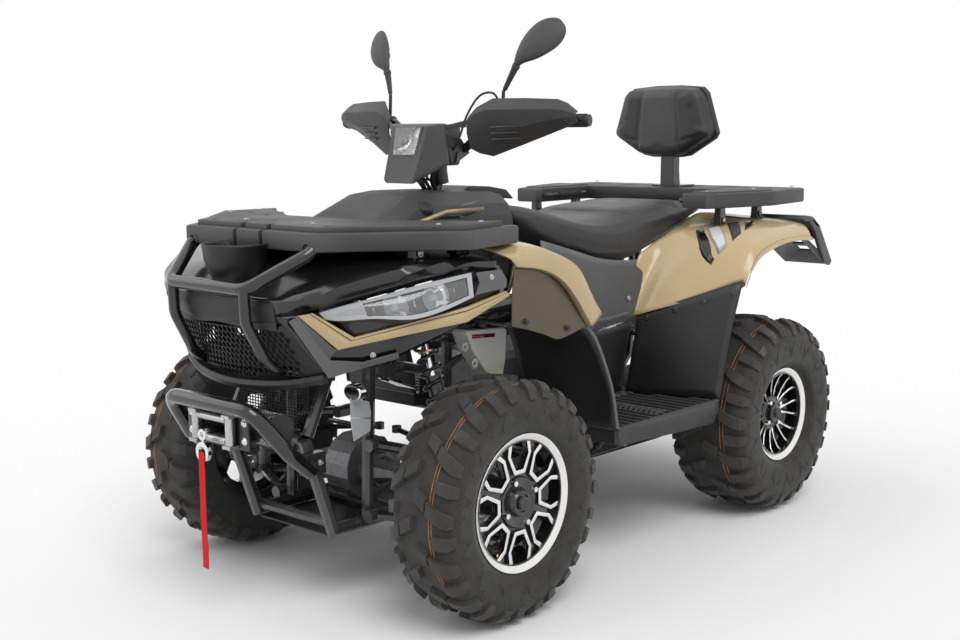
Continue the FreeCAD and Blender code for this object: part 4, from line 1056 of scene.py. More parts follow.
def nose_trim():
    """Grey lip below the gold strip, the flank's end behind the lamp, and the screws."""
    out = Vector((0.003, 0.005, 0))
    edge = [p + out for p in spots((1070, 229, 768), (988, 271, 627), (920, 320, 648), (851, 370, 667))]
    fold = [p + out * 0.9 for p in spots((1060, 251, 780), (994, 283, 672), (930, 330, 664), (856, 372, 682))]
    back = [p + out * 0.7 for p in spots((1061, 251, 781), (978, 290, 694), (988, 284, 680), (918, 332, 664))]
    sides("nose_lip", edge + fold + back, [(0, 1, 5, 4), (1, 2, 6, 5), (2, 3, 7, 6), (4, 5, 10, 9)],
          "light_grey", "grey_plastic", thick=0.004, bevel=0.001)
    end = creased([spots((700, 484, 866), (622, 496, 868)), spots((690, 486, 842), (606, 500, 842)),
                   spots((700, 482, 812), (606, 498, 822))])
    sides("nose_end", *end, "light_grey", "grey_plastic", thick=0.003, bevel=0.001)
    screws = screw_heads(((1015, 262, 690), (905, 338, 678), (655, 492, 852)), (0.5, 0.85, 0), 0.005)
    sides("nose_screws", *screws, "steel", "gloss_black")


def spun(profile, centre, count=48):
    """Points and faces of (height, radius) places spun round an upright line."""
    verts = [centre + Vector((radius * math.cos(a), radius * math.sin(a), high)) / 1000
             for high, radius in profile for a in turns(count)]
    return verts, grid_faces(len(profile), count, closed=True)


def honeycomb():
    """See-through grille of hexagons between the hoop's uprights, bent back at its sides."""
    pitch, wall = 16.5, 2.4
    outline = [(-228, 756), (228, 756), (270, 630), (120, 602), (-120, 602), (-270, 630)]
    holes = []
    for row in range(-6, 7):
        z = 676 + row * pitch * math.sqrt(3) / 2
        room = 216 + (750 - z) * 0.3
        for n in range(-12, 13):
            y = (n + (row % 2) / 2) * pitch
            if abs(y) < room and 612 + abs(y) * 0.1 < z < 740:
                holes.append(circle((pitch - wall) / math.sqrt(3), 6, y, z, math.pi / 6))
    points, faces = flat_plate(scaled([outline] + holes), 0.006)
    verts = []
    for p in points:
        high = p.y * 1000
        ahead = 1036 + (high - 600) * 0.4 - (25 + (768 - high) * 0.06) * (p.x / 0.19) ** 2
        verts.append(at(ahead, 0, 0) + Vector((p.z, p.x, p.y)))
    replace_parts(add("honeycomb", verts, faces, "black", "black_plastic"), "front_grille")


def nose():
    """Dark bowl between the hoop's legs, shield above the grille, cup, shroud, sill and mesh."""
    bowl = [spots((1088, 204, 812), (1098, 110, 818), (1100, 0, 818), (1098, -110, 818), (1088, -204, 812)),
            spots((1088, 202, 790), (1104, 110, 788), (1107, 0, 786), (1104, -110, 788), (1088, -202, 790)),
            spots((1080, 196, 764), (1098, 100, 756), (1102, 0, 754), (1098, -100, 756), (1080, -196, 764))]
    add("nose_bowl", *band(bowl, 24, 5), "black", "gloss_black", thick=0.003)
    shield = [spots((1080, 196, 768), (1098, 90, 758), (1100, 0, 756), (1098, -90, 758), (1080, -196, 768)),
              spots((1077, 192, 742), (1093, 90, 744), (1096, 0, 749), (1093, -90, 744), (1077, -192, 742))]
    add("nose_shield", *band(shield, 33, 5), "grey", "grey_plastic", thick=0.004, bevel=0.001)
    honeycomb()
    cup = spun([(936, 86), (930, 83), (896, 78), (862, 66), (836, 52), (836, 0.5)], at(1036, 0, 0))
    add("nose_cup", *cup, "black", "gloss_black", thick=0.002, smooth=50)
    shroud = [brick(926, 936, y0, y1, 606, top, 1.0)
              for y0, y1, top in ((-50, 228, 850), (-228, -150, 850), (-150, -50, 680))]
    add("nose_shroud", *merged(shroud), "black", "black_plastic", bevel=0.003)
    sill_line = curve_points(spots((990, -264, 624), (1030, -150, 602), (1050, 0, 594), (1030, 150, 602),
                                   (990, 264, 624)), 21)
    section = ((-10, -12), (8, -12), (14, 0), (8, 12), (-10, 12))
    sill = solid([[spot + Vector((x, 0, z)) / 1000 for x, z in section] for spot in sill_line])
    add("grille_sill", *sill, "black", "black_plastic", bevel=0.002)
    strips = [bar(at(930, -132, z), at(930, 132, z), 0.0016, 4) for z in range(486, 598, 8)]
    strips += [bar(at(932, y, 482), at(932, y, 596), 0.0014, 4) for y in range(-132, 143, 11)]
    add("lower_mesh", *merged(strips), "black", "black_plastic")


def front_fender():
    """Tan arch over the front wheel with a rolled edge, and the panel below it, tan painted dark brown as
    shade.
    """
    lines = [
        spots((618, 262, 921), (500, 262, 927), (380, 262, 903), (320, 262, 862), (282, 262, 812),
              (262, 262, 770)),
        spots((612, 400, 919), (500, 400, 925), (400, 400, 905), (318, 400, 852), (272, 400, 795),
              (244, 400, 740)),
        spots((600, 486, 900), (491, 474, 914), (430, 492, 898), (350, 500, 860), (291, 502, 798),
              (238, 502, 720)),
        spots((592, 500, 893), (491, 496, 904), (430, 505, 888), (350, 511, 850), (291, 512, 788),
              (242, 511, 714)),
        spots((572, 500, 872), (481, 506, 860), (405, 511, 828), (341, 512, 772), (300, 511, 722),
              (272, 509, 690)),
        spots((560, 488, 866), (478, 492, 852), (402, 494, 820), (342, 494, 764), (304, 494, 716),
              (280, 494, 688)),
    ]
    pieces = sides("front_fender", *band(lines, 34, 4), "tan", "tan_paint", thick=0.0035, smooth=45)
    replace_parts(pieces[0], "front_fenders")
    panel = [
        spots((560, 484, 864), (470, 486, 850), (396, 488, 816), (334, 490, 758), (286, 492, 706)),
        spots((556, 474, 800), (474, 480, 790), (400, 484, 760), (336, 488, 722), (284, 492, 694)),
        spots((545, 462, 716), (486, 468, 700), (430, 474, 682), (376, 480, 665), (284, 490, 686)),
    ]
    # The side panel is tan; its dark brown colour is painted shade
    sides("side_panel", *band(panel, 24, 4), "shade_tan", "tan_paint", thick=0.003, bevel=0.001)
    screws = screw_heads(((352, 490, 690), (500, 474, 722)), (0, 1, 0.1))
    sides("side_panel_screws", *screws, "coated", "tan_paint")


def front_guard():
    """Inner mudguard behind the front wheel with the grey strip at its edge."""
    lines = [
        spots((560, 215, 724), (555, 330, 724), (550, 456, 724)),
        spots((420, 215, 690), (415, 330, 690), (410, 474, 690)),
        spots((290, 215, 676), (285, 330, 676), (277, 486, 680)),
        spots((222, 215, 520), (220, 330, 520), (212, 528, 520)),
        spots((205, 215, FOOT_HIGH), (203, 330, FOOT_HIGH), (194, 530, FOOT_HIGH)),
    ]
    inner = band(lines, 14, 6)
    edge = [spots((268, 490, 692), (246, 510, 640), (208, 528, 520), (186, 534, FOOT_HIGH)),
            spots((280, 494, 684), (258, 514, 636), (221, 531, 520), (200, 536, FOOT_HIGH))]
    grey = band(edge, 30, 1)
    pieces = sides("front_guard", *inner, "black", "black_plastic", thick=0.004, smooth=50)
    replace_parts(pieces[0], "inner_mudguards")
    sides("front_guard_edge", *grey, "light_grey", "grey_plastic", thick=0.006, bevel=0.0015)
    lower = [
        spots((160, 228, 632), (60, 238, 614), (-40, 246, 604), (-130, 252, 606), (-250, 262, 620)),
        spots((175, 224, 520), (60, 232, 510), (-40, 238, 505), (-130, 244, 505), (-235, 250, 510)),
        spots((188, 222, FOOT_HIGH), (60, 228, FOOT_HIGH), (-40, 232, FOOT_HIGH), (-130, 236, FOOT_HIGH),
              (-228, 240, FOOT_HIGH)),
    ]
    sides("leg_panel", *band(lower, 24, 5), "black", "black_plastic", thick=0.004)
    rear = [
        spots((-262, 272, 642), (-333, 410, 694), (-420, 542, 748)),
        spots((-244, 262, 510), (-285, 400, 535), (-352, 537, 560)),
        spots((-233, 252, FOOT_HIGH), (-272, 400, FOOT_HIGH), (-318, 532, FOOT_HIGH)),
    ]
    sides("rear_guard", *band(rear, 16, 6), "black", "black_plastic", thick=0.004)
    below_edge = curve_points(between_lines(rear[0], rear[1], 0.17), 41)
    screws = [cap_screw(below_edge[n] + Vector((0.002, 0.001, 0)), Vector((0.9, 0.35, 0.1)), 0.0065, 0.004)
              for n in (4, 15, 26, 37)]
    sides("rear_guard_screws", *merged(screws), "coated", "black_plastic")


def on_sheet(verts, wide, row, column):
    """A place on a sheet of points, between its rows and columns."""
    r, c = int(row), int(column)
    low, high = [verts[k * wide + c].lerp(verts[k * wide + c + 1], column - c) for k in (r, r + 1)]
    return low.lerp(high, row - r)


def patch(verts, wide, corners):
    """A thin painted shape that lies on a sheet, given by (row, column) corners."""
    row = sum(r for r, c in corners) / len(corners)
    column = sum(c for r, c in corners) / len(corners)
    across = on_sheet(verts, wide, row + 0.5, column) - on_sheet(verts, wide, row - 0.5, column)
    along = on_sheet(verts, wide, row, column + 0.5) - on_sheet(verts, wide, row, column - 0.5)
    lift = along.cross(across).normalized() * 0.0011
    if lift.dot(Vector((0, 0.6, 0.8))) < 0:
        lift = -lift
    edge = [(r0 + (r1 - r0) * n / 6, c0 + (c1 - c0) * n / 6)
            for (r0, c0), (r1, c1) in zip(corners, corners[1:] + corners[:1]) for n in range(6)]
    rings = [[on_sheet(verts, wide, row + (r - row) * share, column + (c - column) * share) + lift
              for r, c in edge]
             for share in (0.02, 0.35, 0.68, 1.0)]
    count = len(edge)
    faces = grid_faces(len(rings), count, closed=True) + [tuple(range(count))]
    return [spot for line in rings for spot in line], faces


def rear_fender():
    """Tan rear fender: shoulder, flat top, lip and a slim tan edge."""
    lines = [
        spots((-252, 252, 640), (-296, 246, 800), (-350, 245, 834), (-430, 243, 864), (-560, 232, 899),
              (-690, 214, 922), (-826, 240, 912)),
        spots((-258, 262, 636), (-326, 266, 756), (-400, 282, 844), (-500, 300, 890), (-660, 316, 911),
              (-826, 328, 908)),
        spots((-266, 300, 648), (-346, 330, 768), (-424, 350, 846), (-520, 372, 890), (-680, 392, 906),
              (-832, 400, 904)),
        spots((-333, 410, 686), (-380, 418, 764), (-455, 430, 852), (-560, 446, 894), (-700, 456, 899),
              (-838, 460, 897)),
        spots((-420, 528, 742), (-446, 530, 790), (-505, 520, 852), (-640, 512, 880), (-745, 508, 884),
              (-848, 508, 882)),
        spots((-430, 545, 732), (-458, 548, 780), (-520, 546, 822), (-650, 538, 846), (-752, 534, 850),
              (-856, 528, 842)),
        spots((-434, 530, 722), (-460, 532, 768), (-522, 530, 812), (-650, 522, 838), (-752, 518, 842),
              (-856, 514, 836)),
    ]
    sheet = band(lines, 34, 5)
    pieces = sides("rear_fender", *sheet, "tan", "tan_paint", thick=0.0035, smooth=40)
    marks = (
        ("white_paint", ((8.6, 18.4), (13.6, 12.6), (18.8, 8.0), (19.2, 10.0), (14.6, 15.4), (10.4, 20.4))),
        ("mid_grey", ((12.0, 21.0), (16.0, 15.6), (19.5, 11.2), (19.6, 14.2), (16.4, 19.0), (13.8, 22.8))),
        ("gloss_black", ((14.8, 24.0), (17.4, 19.6), (19.6, 15.6), (19.7, 18.4), (16.6, 25.4))),
        ("gloss_black", ((7.4, 16.2), (12.4, 10.6), (17.8, 6.2), (18.2, 7.2), (13.4, 12.2), (8.2, 17.6))),
        ("gloss_black", ((6.4, 25.4), (14.0, 27.6), (14.4, 32.4), (6.4, 32.4))),
    )
    for n, (look, corners) in enumerate(marks):
        sides(f"rear_fender_mark_{n}", *patch(sheet[0], 34, corners), look, "tan_paint", thick=0.0004)
    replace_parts(pieces[0], "rear_fenders")
    lip = [spots((-430, 548, 737), (-458, 551, 785), (-520, 549, 827), (-650, 541, 851), (-752, 537, 855),
                 (-856, 531, 847)),
           spots((-425, 550, 724), (-452, 553, 772), (-516, 551, 813), (-650, 543, 838), (-752, 539, 842),
                 (-856, 533, 836))]
    sides("rear_fender_edge", *band(lip, 30, 1), "tan", "tan_paint", thick=0.004, bevel=0.001)


# Racks, seat and middle

def deck(name, outlines, low, high, look, slot, bevel=0.004):
    """A flat moulding seen from above, with holes, between two heights in millimetres."""
    points, faces = flat_plate(scaled(outlines, MIDDLE), (high - low) / 1000, bevel)
    middle = Vector((0, 0, (low + high) / 2000))
    return add(name, [p + middle for p in points], faces, look, slot, smooth=30)


def both_sides(line):
    """An outline on the left carried on round the right."""
    return line + [(x, -y) for x, y in reversed(line)]


def rectangle(x0, x1, y0, y1):
    """The four corners of a rectangle."""
    return [(x0, y0), (x1, y0), (x1, y1), (x0, y1)]


def tapered(outline, low, high, shrink):
    """Points and faces of a slab whose top is drawn in."""
    cx = sum(x for x, y in outline) / len(outline)
    cy = sum(y for x, y in outline) / len(outline)
    top = [at(cx + (x - cx) * shrink, cy + (y - cy) * shrink, high) for x, y in outline]
    return solid([[at(x, y, low) for x, y in outline], top])


def brick(x0, x1, y0, y1, z0, z1, shrink=0.96):
    """Points and faces of a block between three pairs of bounds, its top drawn in."""
    return tapered(rectangle(x0, x1, y0, y1), z0, z1, shrink)


def front_rack():
    """Carrier over the nose: skirt, inset plateau, two arms that part round the console."""
    skirt_low, rim, top = 922, 967, 980
    skirt = [(1000, 43), (980, 43), (980, 57), (1000, 57), (1000, 250), (930, 302), (780, 441), (722, 499),
             (510, 455), (520, 436), (556, 416), (706, 176), (720, 152)]
    rack = deck("front_rack_skirt", [both_sides(skirt)], skirt_low, rim, "grey", "grey_plastic", 0.005)
    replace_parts(rack, "front_rack")
    plateau = [(973, 41), (956, 41), (956, 59), (973, 59), (973, 236), (915, 280), (764, 420), (712, 469),
               (548, 436), (572, 424), (716, 190), (734, 162)]
    holes = [rectangle(x - 9, x + 9, side * y - 9, side * y + 9)
             for side in (1, -1) for x, y in ((933, 218), (767, 370), (707, 354), (760, 218))]
    deck("front_rack_plateau", [both_sides(plateau)] + holes, rim - 6, top, "grey", "grey_plastic", 0.003)
    arc = [at(1001, 222 + 17 * math.cos(a), 924 + 20 * math.sin(a)) for a in steps(0, math.pi, 13)]
    add("front_rack_arches", *both(arc, [tuple(range(13))]), "black", "grey_plastic", thick=0.002)
    rim_tube = hose([spot + Vector((0.0005, 0, 0)) for spot in arc], 0.0024, 8, 24)
    add("front_rack_arch_rims", *both(*rim_tube), "grey", "grey_plastic", smooth=60)
    screws = screw_heads([(x, y, top) for x, y in ((740, 400), (610, 420), (900, 130))], (0, 0, 1))
    add("front_rack_screws", *both(*screws), "steel", "grey_plastic")


def rear_rack():
    """Carrier behind the passenger, an arm along each side and grab handles inside them."""
    low, top = 950, 996
    edge = [(-742, 283), (-482, 283), (-468, 298), (-466, 377), (-500, 392), (-720, 455), (-748, 458),
            (-968, 436), (-982, 420), (-982, 300), (-974, 280), (-982, 260), (-982, 100), (-974, 90)]
    slots = [rectangle(-930, -800, y - 9, y + 9) for y in (-330, -200, -70, 70, 200, 330)]
    rack = deck("rear_rack_deck", [both_sides(edge)] + slots, low, top, "grey", "grey_plastic", 0.006)
    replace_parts(rack, "rear_rack")
    raised = [(-500, 302), (-500, 372), (-725, 436), (-770, 436), (-770, 302)]
    sides("rear_rack_pad", *tapered(raised, top - 2, top + 5, 0.96), "grey", "grey_plastic", bevel=0.003)
    tube = [at(x, y, GRAB_HIGH) for x, y in ((-492, 300), (-500, 272), (-520, 260), (-600, 258), (-680, 260),
                                             (-700, 272), (-708, 300))]
    sides("grab_tube", *hose(tube, 0.0085, 14, 40), "black", "black_steel", smooth=60)
    rings = []
    for n in range(26):
        size = 11.6 if n % 2 else 10.4
        for x in (-540 - n * 4.6, -542.3 - n * 4.6):
            rings.append([at(x, 258 + y, GRAB_HIGH + z) for y, z in circle(size, 18)])
    sides("grab_grip", *solid(rings), "grip", "grip_rubber", smooth=50)
    screws = screw_heads([(x, y, top + 4) for x, y in ((-520, 345), (-740, 380), (-950, 400))], (0, 0, 1))
    add("rear_rack_screws", *both(*screws), "steel", "grey_plastic")


def rack_legs():
    """Stepped feet under both racks, each with its screw."""
    feet = []
    legs = ((790, 372, 896, 938), (642, 372, 902, 938), (-560, 370, 892, 958), (-780, 370, 903, 958))
    for x, y, low, high in legs:
        feet.append(brick(x - 17, x + 17, y - 13, y + 13, low, high, 0.82))
        feet.append(brick(x - 24, x + 24, y - 18, y + 18, low - 1, low + 7, 0.94))
    piece = add("rack_feet", *both(*merged(feet)), "coated", "black_steel", bevel=0.002)
    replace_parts(piece, "rack_legs")
    screws = screw_heads([(x, y + 16, low + 18) for x, y, low, high in legs], (0, 1, 0))
    add("rack_feet_screws", *both(*screws), "steel", "black_steel")


CLOTH_STEPS = 20


def even_mesh(name, verts, faces, voxel):
    """A closed shape as an even mesh with softened corners."""
    shell = bpy.data.meshes.new(name)
    shell.from_pydata([tuple(v) for v in verts], [], faces)
    work = bmesh.new()
    work.from_mesh(shell)
    bmesh.ops.recalc_face_normals(work, faces=work.faces)
    work.to_mesh(shell)
    work.free()
    temp = bpy.data.objects.new(name + "_base", shell)
    bpy.context.collection.objects.link(temp)
    even = temp.modifiers.new("even", "REMESH")
    even.mode = "VOXEL"
    even.voxel_size = voxel
    soft = temp.modifiers.new("soft", "SMOOTH")
    soft.iterations = 4
    soft.factor = 0.5
    base = evaluated(temp)
    bpy.data.objects.remove(temp)
    return base


def stuffed(name, verts, faces, node, voxel, cap, pin_low, grooves, depth, reach):
    """A padded piece: remeshed, blown up as cloth, then pressed in along its seams."""
    base = even_mesh(name, verts, faces, voxel)
    blown_up(base, cap, pin_low)
    pressed(base, grooves, depth, reach)
    piece = finish(bpy.data.objects.new(name, base), "vinyl", smooth=180)
    calm = piece.modifiers.new("calm", "SMOOTH")
    calm.iterations = 3
    fine = piece.modifiers.new("fine", "SUBSURF")
    fine.levels = 1
    fine.render_levels = 1
    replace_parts(piece, node)
    return piece


def evaluated(obj):
    """The mesh of an object with its modifiers applied."""
    bpy.context.view_layer.update()
    graph = bpy.context.evaluated_depsgraph_get()
    return bpy.data.meshes.new_from_object(obj.evaluated_get(graph))


def blown_up(mesh, cap, pin_low):
    """Let pressure swell the cover, with no point moved further than cap."""
    before = [v.co.copy() for v in mesh.vertices]
    obj = bpy.data.objects.new("cover", mesh.copy())
    bpy.context.collection.objects.link(obj)
    held = obj.vertex_groups.new(name="held")
    held.add([n for n, place in enumerate(before) if pin_low(place)], 1.0, "REPLACE")
    cloth = obj.modifiers.new("cloth", "CLOTH")
    cloth.settings.use_pressure = True
    cloth.settings.uniform_pressure_force = 4.0
    cloth.settings.effector_weights.gravity = 0.0
    cloth.settings.vertex_group_mass = "held"
    cloth.settings.quality = 4
    scene = bpy.context.scene
    for step in range(1, CLOTH_STEPS + 1):
        scene.frame_set(step)
    result = evaluated(obj)
    scene.frame_set(1)
    for vertex, old, new in zip(mesh.vertices, before, result.vertices):
        move = new.co - old
        if move.length > cap:
            move = move.normalized() * cap
        vertex.co = old + move
    bpy.data.objects.remove(obj)


def pressed(mesh, grooves, depth, reach):
    """Pull the surface in along the seams."""
    seams = [spot for groove in grooves for spot in curve_points(groove, 160)]
    for vertex in mesh.vertices:
        near = min((spot - vertex.co).length for spot in seams)
        if near < reach:
            vertex.co -= vertex.normal * depth * (1 - (near / reach) ** 2) ** 0.7


def seat():
    """Long saddle: narrow nose, dished rider's place, raised pillion place."""
    stations = ((108, 84, 944, 977), (60, 140, 888, 974), (0, 170, 852, 958), (-60, 196, 826, 943),
                (-130, 222, 800, 927), (-220, 240, 790, 923), (-300, 247, 792, 927), (-350, 249, 806, 944),
                (-430, 249, 830, 950), (-560, 240, 876, 956), (-680, 220, 906, 954), (-728, 190, 918, 946))
    section = [(-0.55, 0.0), (-0.86, 0.1), (-0.98, 0.3), (-1.0, 0.52), (-0.95, 0.76), (-0.82, 0.92),
               (-0.5, 0.985), (0.0, 1.0)]
    section += [(-wide, tall) for wide, tall in reversed(section[:-1])]
    lines = [curve_points([at(x, half * wide, low + (high - low) * tall) for x, half, low, high in stations],
                          40)
             for wide, tall in section]
    seams = [[at(x, side * half * 0.985, low + (high - low) * 0.66) for x, half, low, high in stations[1:-1]]
             for side in (1, -1)]
    seams.append([at(-322 - 0.0006 * y * y, y, 936 - abs(y) * 0.02) for y in range(-225, 226, 25)])
    stuffed("seat_cover", *solid(list(zip(*lines))), "seat", 0.0075, 0.007,
            lambda place: place.z < 0.83 or place.z < 0.9 and place.x < -0.6, seams, 0.004, 0.011)


def backrest():
    """Six-sided pad with a lighter centre panel, on a black shell and post."""
    middle = 1215
    outline = [(58, 1098), (92, 1104), (188, 1160), (199, 1178), (158, 1308), (138, 1328), (50, 1335)]
    outline += [(-y, z) for y, z in reversed(outline)]

    def slab(layers):
        """A body through the outline, scaled by a share at each x."""
        return solid([[at(x, y * share, middle + (z - middle) * share) for y, z in outline]
                      for x, share in layers])

    seams = [spots((-750, side * 62, 1326), (-748, side * 70, 1260), (-748, side * 80, 1180),
                   (-752, side * 84, 1108))
             for side in (1, -1)]
    seams += [spots((-752, side * 78, 1150), (-748, side * 120, 1158), (-756, side * 180, 1172))
              for side in (1, -1)]
    pad = slab(((-754, 0.84), (-762, 0.93), (-776, 0.97), (-812, 0.97), (-822, 0.95)))
    piece = stuffed("backrest_cover", *pad, "backrest_pad", 0.0055, 0.0035,
                    lambda place: place.x < at(-812, 0, 0).x, seams, 0.0035, 0.009)
    piece.data.materials.append(made["vinyl_light"])
    for face in piece.data.polygons:
        spot = face.center
        if face.normal.x > 0.4 and abs(spot.y) < 0.062 + (1.33 - spot.z) * 0.08:
            face.material_index = 1
    add("backrest_shell", *slab(((-806, 1.0), (-824, 1.02), (-832, 0.97))), "black", "black_plastic",
        bevel=0.003)
    stem = [brick(-838, -806, -24, 30, 990, 1112), brick(-870, -838, -12, 18, 990, 1080, 0.7)]
    add("backrest_stem", *merged(stem), "coated", "black_steel", bevel=0.003)


def middle_covers():
    """Lighter covers under the seat, with a lip at their upper edge."""
    lines = [
        spots((84, 176, 884), (30, 188, 868), (-40, 204, 846), (-150, 228, 814), (-300, 242, 802),
              (-352, 247, 822)),
        spots((104, 198, 852), (50, 206, 830), (-40, 220, 792), (-150, 240, 762), (-280, 253, 756),
              (-336, 257, 770)),
        spots((126, 212, 770), (60, 220, 735), (-40, 232, 700), (-145, 247, 680), (-250, 257, 690),
              (-310, 261, 704)),
        spots((140, 226, 640), (60, 236, 622), (-40, 245, 612), (-130, 251, 614), (-200, 257, 620),
              (-264, 263, 630)),
    ]
    pieces = sides("middle_cover", *band(lines, 28, 4), "light_grey", "grey_plastic", thick=0.004, smooth=40)
    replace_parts(pieces[0], "centre_covers")
    ridge = [spots((132, 222, 700), (60, 232, 664), (-40, 243, 646), (-135, 253, 645), (-225, 261, 652)),
             spots((134, 228, 690), (60, 238, 654), (-40, 249, 636), (-135, 258, 636), (-228, 265, 643)),
             spots((138, 226, 676), (60, 236, 642), (-40, 246, 626), (-135, 255, 626), (-232, 262, 634))]
    sides("middle_cover_rib", *band(ridge, 20, 1), "light_grey", "grey_plastic", thick=0.003, bevel=0.001)
    screws = screw_heads(((112, 211, 850), (-60, 243, 690), (-236, 259, 690)), (0.1, 1, 0.1), 0.0055)
    sides("middle_cover_screws", *screws, "steel", "grey_plastic")


def console():
    """Faceted cover over the tank, with its marks on both sides."""
    stations = ((708, 200, 962), (640, 200, 992), (560, 172, 1032), (500, 166, 1038), (350, 152, 1036),
                (200, 138, 1030), (150, 128, 1020), (120, 104, 996))
    low = 905
    section = ((1.0, 0.0), (0.98, 0.45), (0.88, 0.72), (0.62, 0.97), (0.5, 1.0))
    section = tuple((-wide, tall) for wide, tall in section) + section[::-1]
    verts = [at(x, half * wide, low + (high - low) * tall) for x, half, high in stations
             for wide, tall in section]
    wide = len(section)
    faces = grid_faces(len(stations), wide) + [tuple(range(wide)), tuple(range(len(verts) - wide, len(verts)))]
    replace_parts(add("console_cover", verts, faces, "grey", "grey_plastic", smooth=18, bevel=0.004), "console")
    marks = (("tan", ((652, 198, 962), (470, 170, 992), (300, 152, 990), (300, 153, 980), (470, 171, 980),
                      (640, 200, 950))),
             ("gloss_black", ((520, 175, 972), (392, 161, 984), (330, 154, 978), (410, 163, 966))),
             ("white_paint", ((404, 160, 1000), (330, 151, 1006), (352, 153, 999))))
    for n, (look, places) in enumerate(marks):
        line = [at(x, y + 1.2, z) for x, y, z in places]
        sides(f"console_mark_{n}", line, [tuple(range(len(line)))], look, "grey_plastic", thick=0.0006)
    dash_and_cap()


def dash_and_cap():
    """Black dash behind the handlebar's foot, and the ridged fuel cap."""
    dash = [at(x, y, z) for x, z in ((318, 1026), (273, 1044), (189, 1040), (116, 1028), (84, 1002))
            for y in (-74, 74)]
    add("dash", dash, grid_faces(5, 2) + [(0, 2, 4, 6, 8), (1, 3, 5, 7, 9)], "black", "gloss_black",
        thick=0.004, bevel=0.003)
    up = Vector((0.18, 0.5, 0.85)).normalized()
    side = up.orthogonal().normalized()
    other = up.cross(side)
    verts = []
    for lift, size in ((-0.01, 24), (0.010, 24), (0.016, 21), (0.017, 0.5)):
        for n, a in enumerate(turns(48)):
            ridge = 1.4 if n % 2 and size > 22 else 0
            across = (side * math.cos(a) + other * math.sin(a)) * (size + ridge) / 1000
            verts.append(at(525, 140, 992) + up * lift + across)
    add("fuel_cap", verts, grid_faces(4, 48, closed=True), "black", "black_plastic", smooth=40)


def footboard():
    """Boards with a raised rim, cross ribs and serrated peg."""
    high = FOOT_HIGH
    outline = [(192, 240), (192, 522), (180, 531), (-310, 532), (-322, 520), (-270, 240)]
    slots = [rectangle(x - 16, x + 16, 300, 480) for x in (120, 50, -160, -230)]
    for side, name in ((1, "left"), (-1, "right")):
        lines = [[(x, side * y) for x, y in line] for line in [outline] + slots]
        board = deck("footboard_" + name, lines, high - 46, high - 6, "black", "grey_plastic")
        if side == 1:
            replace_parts(board, "footboards")
    parts = [brick(-318, 188, 519, 531, high - 8, high, 0.995)]
    parts += [brick(x - 4, x + 4, 262, 516, high - 8, high - 1, 0.98) for x in range(170, -293, -33)]
    parts += [brick(-86, -34, y - 5, y + 5, high - 4, high + 5, 0.7) for y in range(300, 499, 18)]
    sides("footboard_ribs", *merged(parts), "grey", "grey_plastic", bevel=0.0015)
    skirt = [spots((186, 527, 398), (-60, 533, 398), (-312, 530, 398)),
             spots((186, 531, 378), (-60, 537, 376), (-312, 533, 374)),
             spots((180, 524, 352), (-60, 528, 340), (-300, 524, 330))]
    sides("footboard_skirt", *band(skirt, 20, 3), "grey", "grey_plastic", thick=0.004)


def side_plate(outline, near, far):
    """Points and faces of a moulding seen from the side, between two distances off the middle."""
    return solid([[at(x, y, z) for x, z in outline] for y in (near, far)])


def tail():
    """Grey tail covers on slanted struts, red lamps, bridge and blank plate holder."""
    cover = [(-846, 902), (-860, 914), (-905, 908), (-952, 878), (-940, 866), (-900, 892), (-856, 894)]
    strut = [(-905, 904), (-952, 878), (-1044, 752), (-1030, 738), (-994, 750), (-920, 860), (-886, 890)]
    lamp = [(-940, 886), (-954, 880), (-986, 836), (-978, 826), (-962, 834)]
    covers = sides("tail_cover", *side_plate(cover, 338, 506), "mid_grey", "grey_plastic", bevel=0.004)
    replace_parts(covers[0], "tail_covers")
    sides("tail_strut", *side_plate(strut, 492, 506), "mid_grey", "grey_plastic", bevel=0.004)
    sides("tail_lamp", *side_plate(lamp, 350, 482), "red_glass", "grey_plastic", bevel=0.003)
    bridge = side_plate([(-884, 806), (-884, 884), (-956, 884), (-1000, 806)], -338, 338)
    add("tail_bridge", *bridge, "black", "black_plastic", bevel=0.006)
    plate = [at(-984, y, z) for y, z in ((-95, 786), (95, 786), (95, 850), (-95, 850))]
    add("plate_holder", plate, [(0, 1, 2, 3)], "grey", "black_plastic", thick=0.003, bevel=0.001)


def rear_flaps():
    """Slotted flaps behind the wheels, bent down at their rear."""
    for side, name in ((1, "left"), (-1, "right")):
        outline = [(-860, side * 330), (-860, side * 496), (-1020, side * 496), (-1046, side * 480),
                   (-1046, side * 330)]
        holes = [rectangle(x - 12, x + 12, side * 440 - 22, side * 440 + 22) for x in (-894, -934, -974)]
        points, faces = flat_plate(scaled([outline] + holes, MIDDLE), 0.006, 0.0015)
        verts = []
        for p in points:
            share = min(1.0, max(0.0, (at(-860, 0, 0).x - p.x) / 0.186))
            verts.append(Vector((p.x, p.y, p.z + 0.848 - 0.106 * share ** 1.6)))
        flap = add("rear_flap_" + name, verts, faces, "black", "black_plastic", smooth=30)
        if side == 1:
            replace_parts(flap, "rear_flaps")


# Bars, steering and running gear

def bent(corners, bend, count=6):
    """A line of straight runs in millimetres whose corners are rounded."""
    places = spots(*corners)
    line = [places[0]]
    for before, corner, after in zip(places, places[1:], places[2:]):
        back = before - corner
        ahead = after - corner
        reach = min(bend / 1000 / math.tan(back.angle(ahead) / 2), back.length * 0.45, ahead.length * 0.45)
        first = corner + back.normalized() * reach
        last = corner + ahead.normalized() * reach
        line += [first.lerp(corner, t).lerp(corner.lerp(last, t), t) for t in steps(0, 1, count + 1)]
    return line + [places[-1]]


def through_both(corners):
    """A left route carried on to its mirror image."""
    return corners + [(x, -y, z) for x, y, z in reversed(corners)]


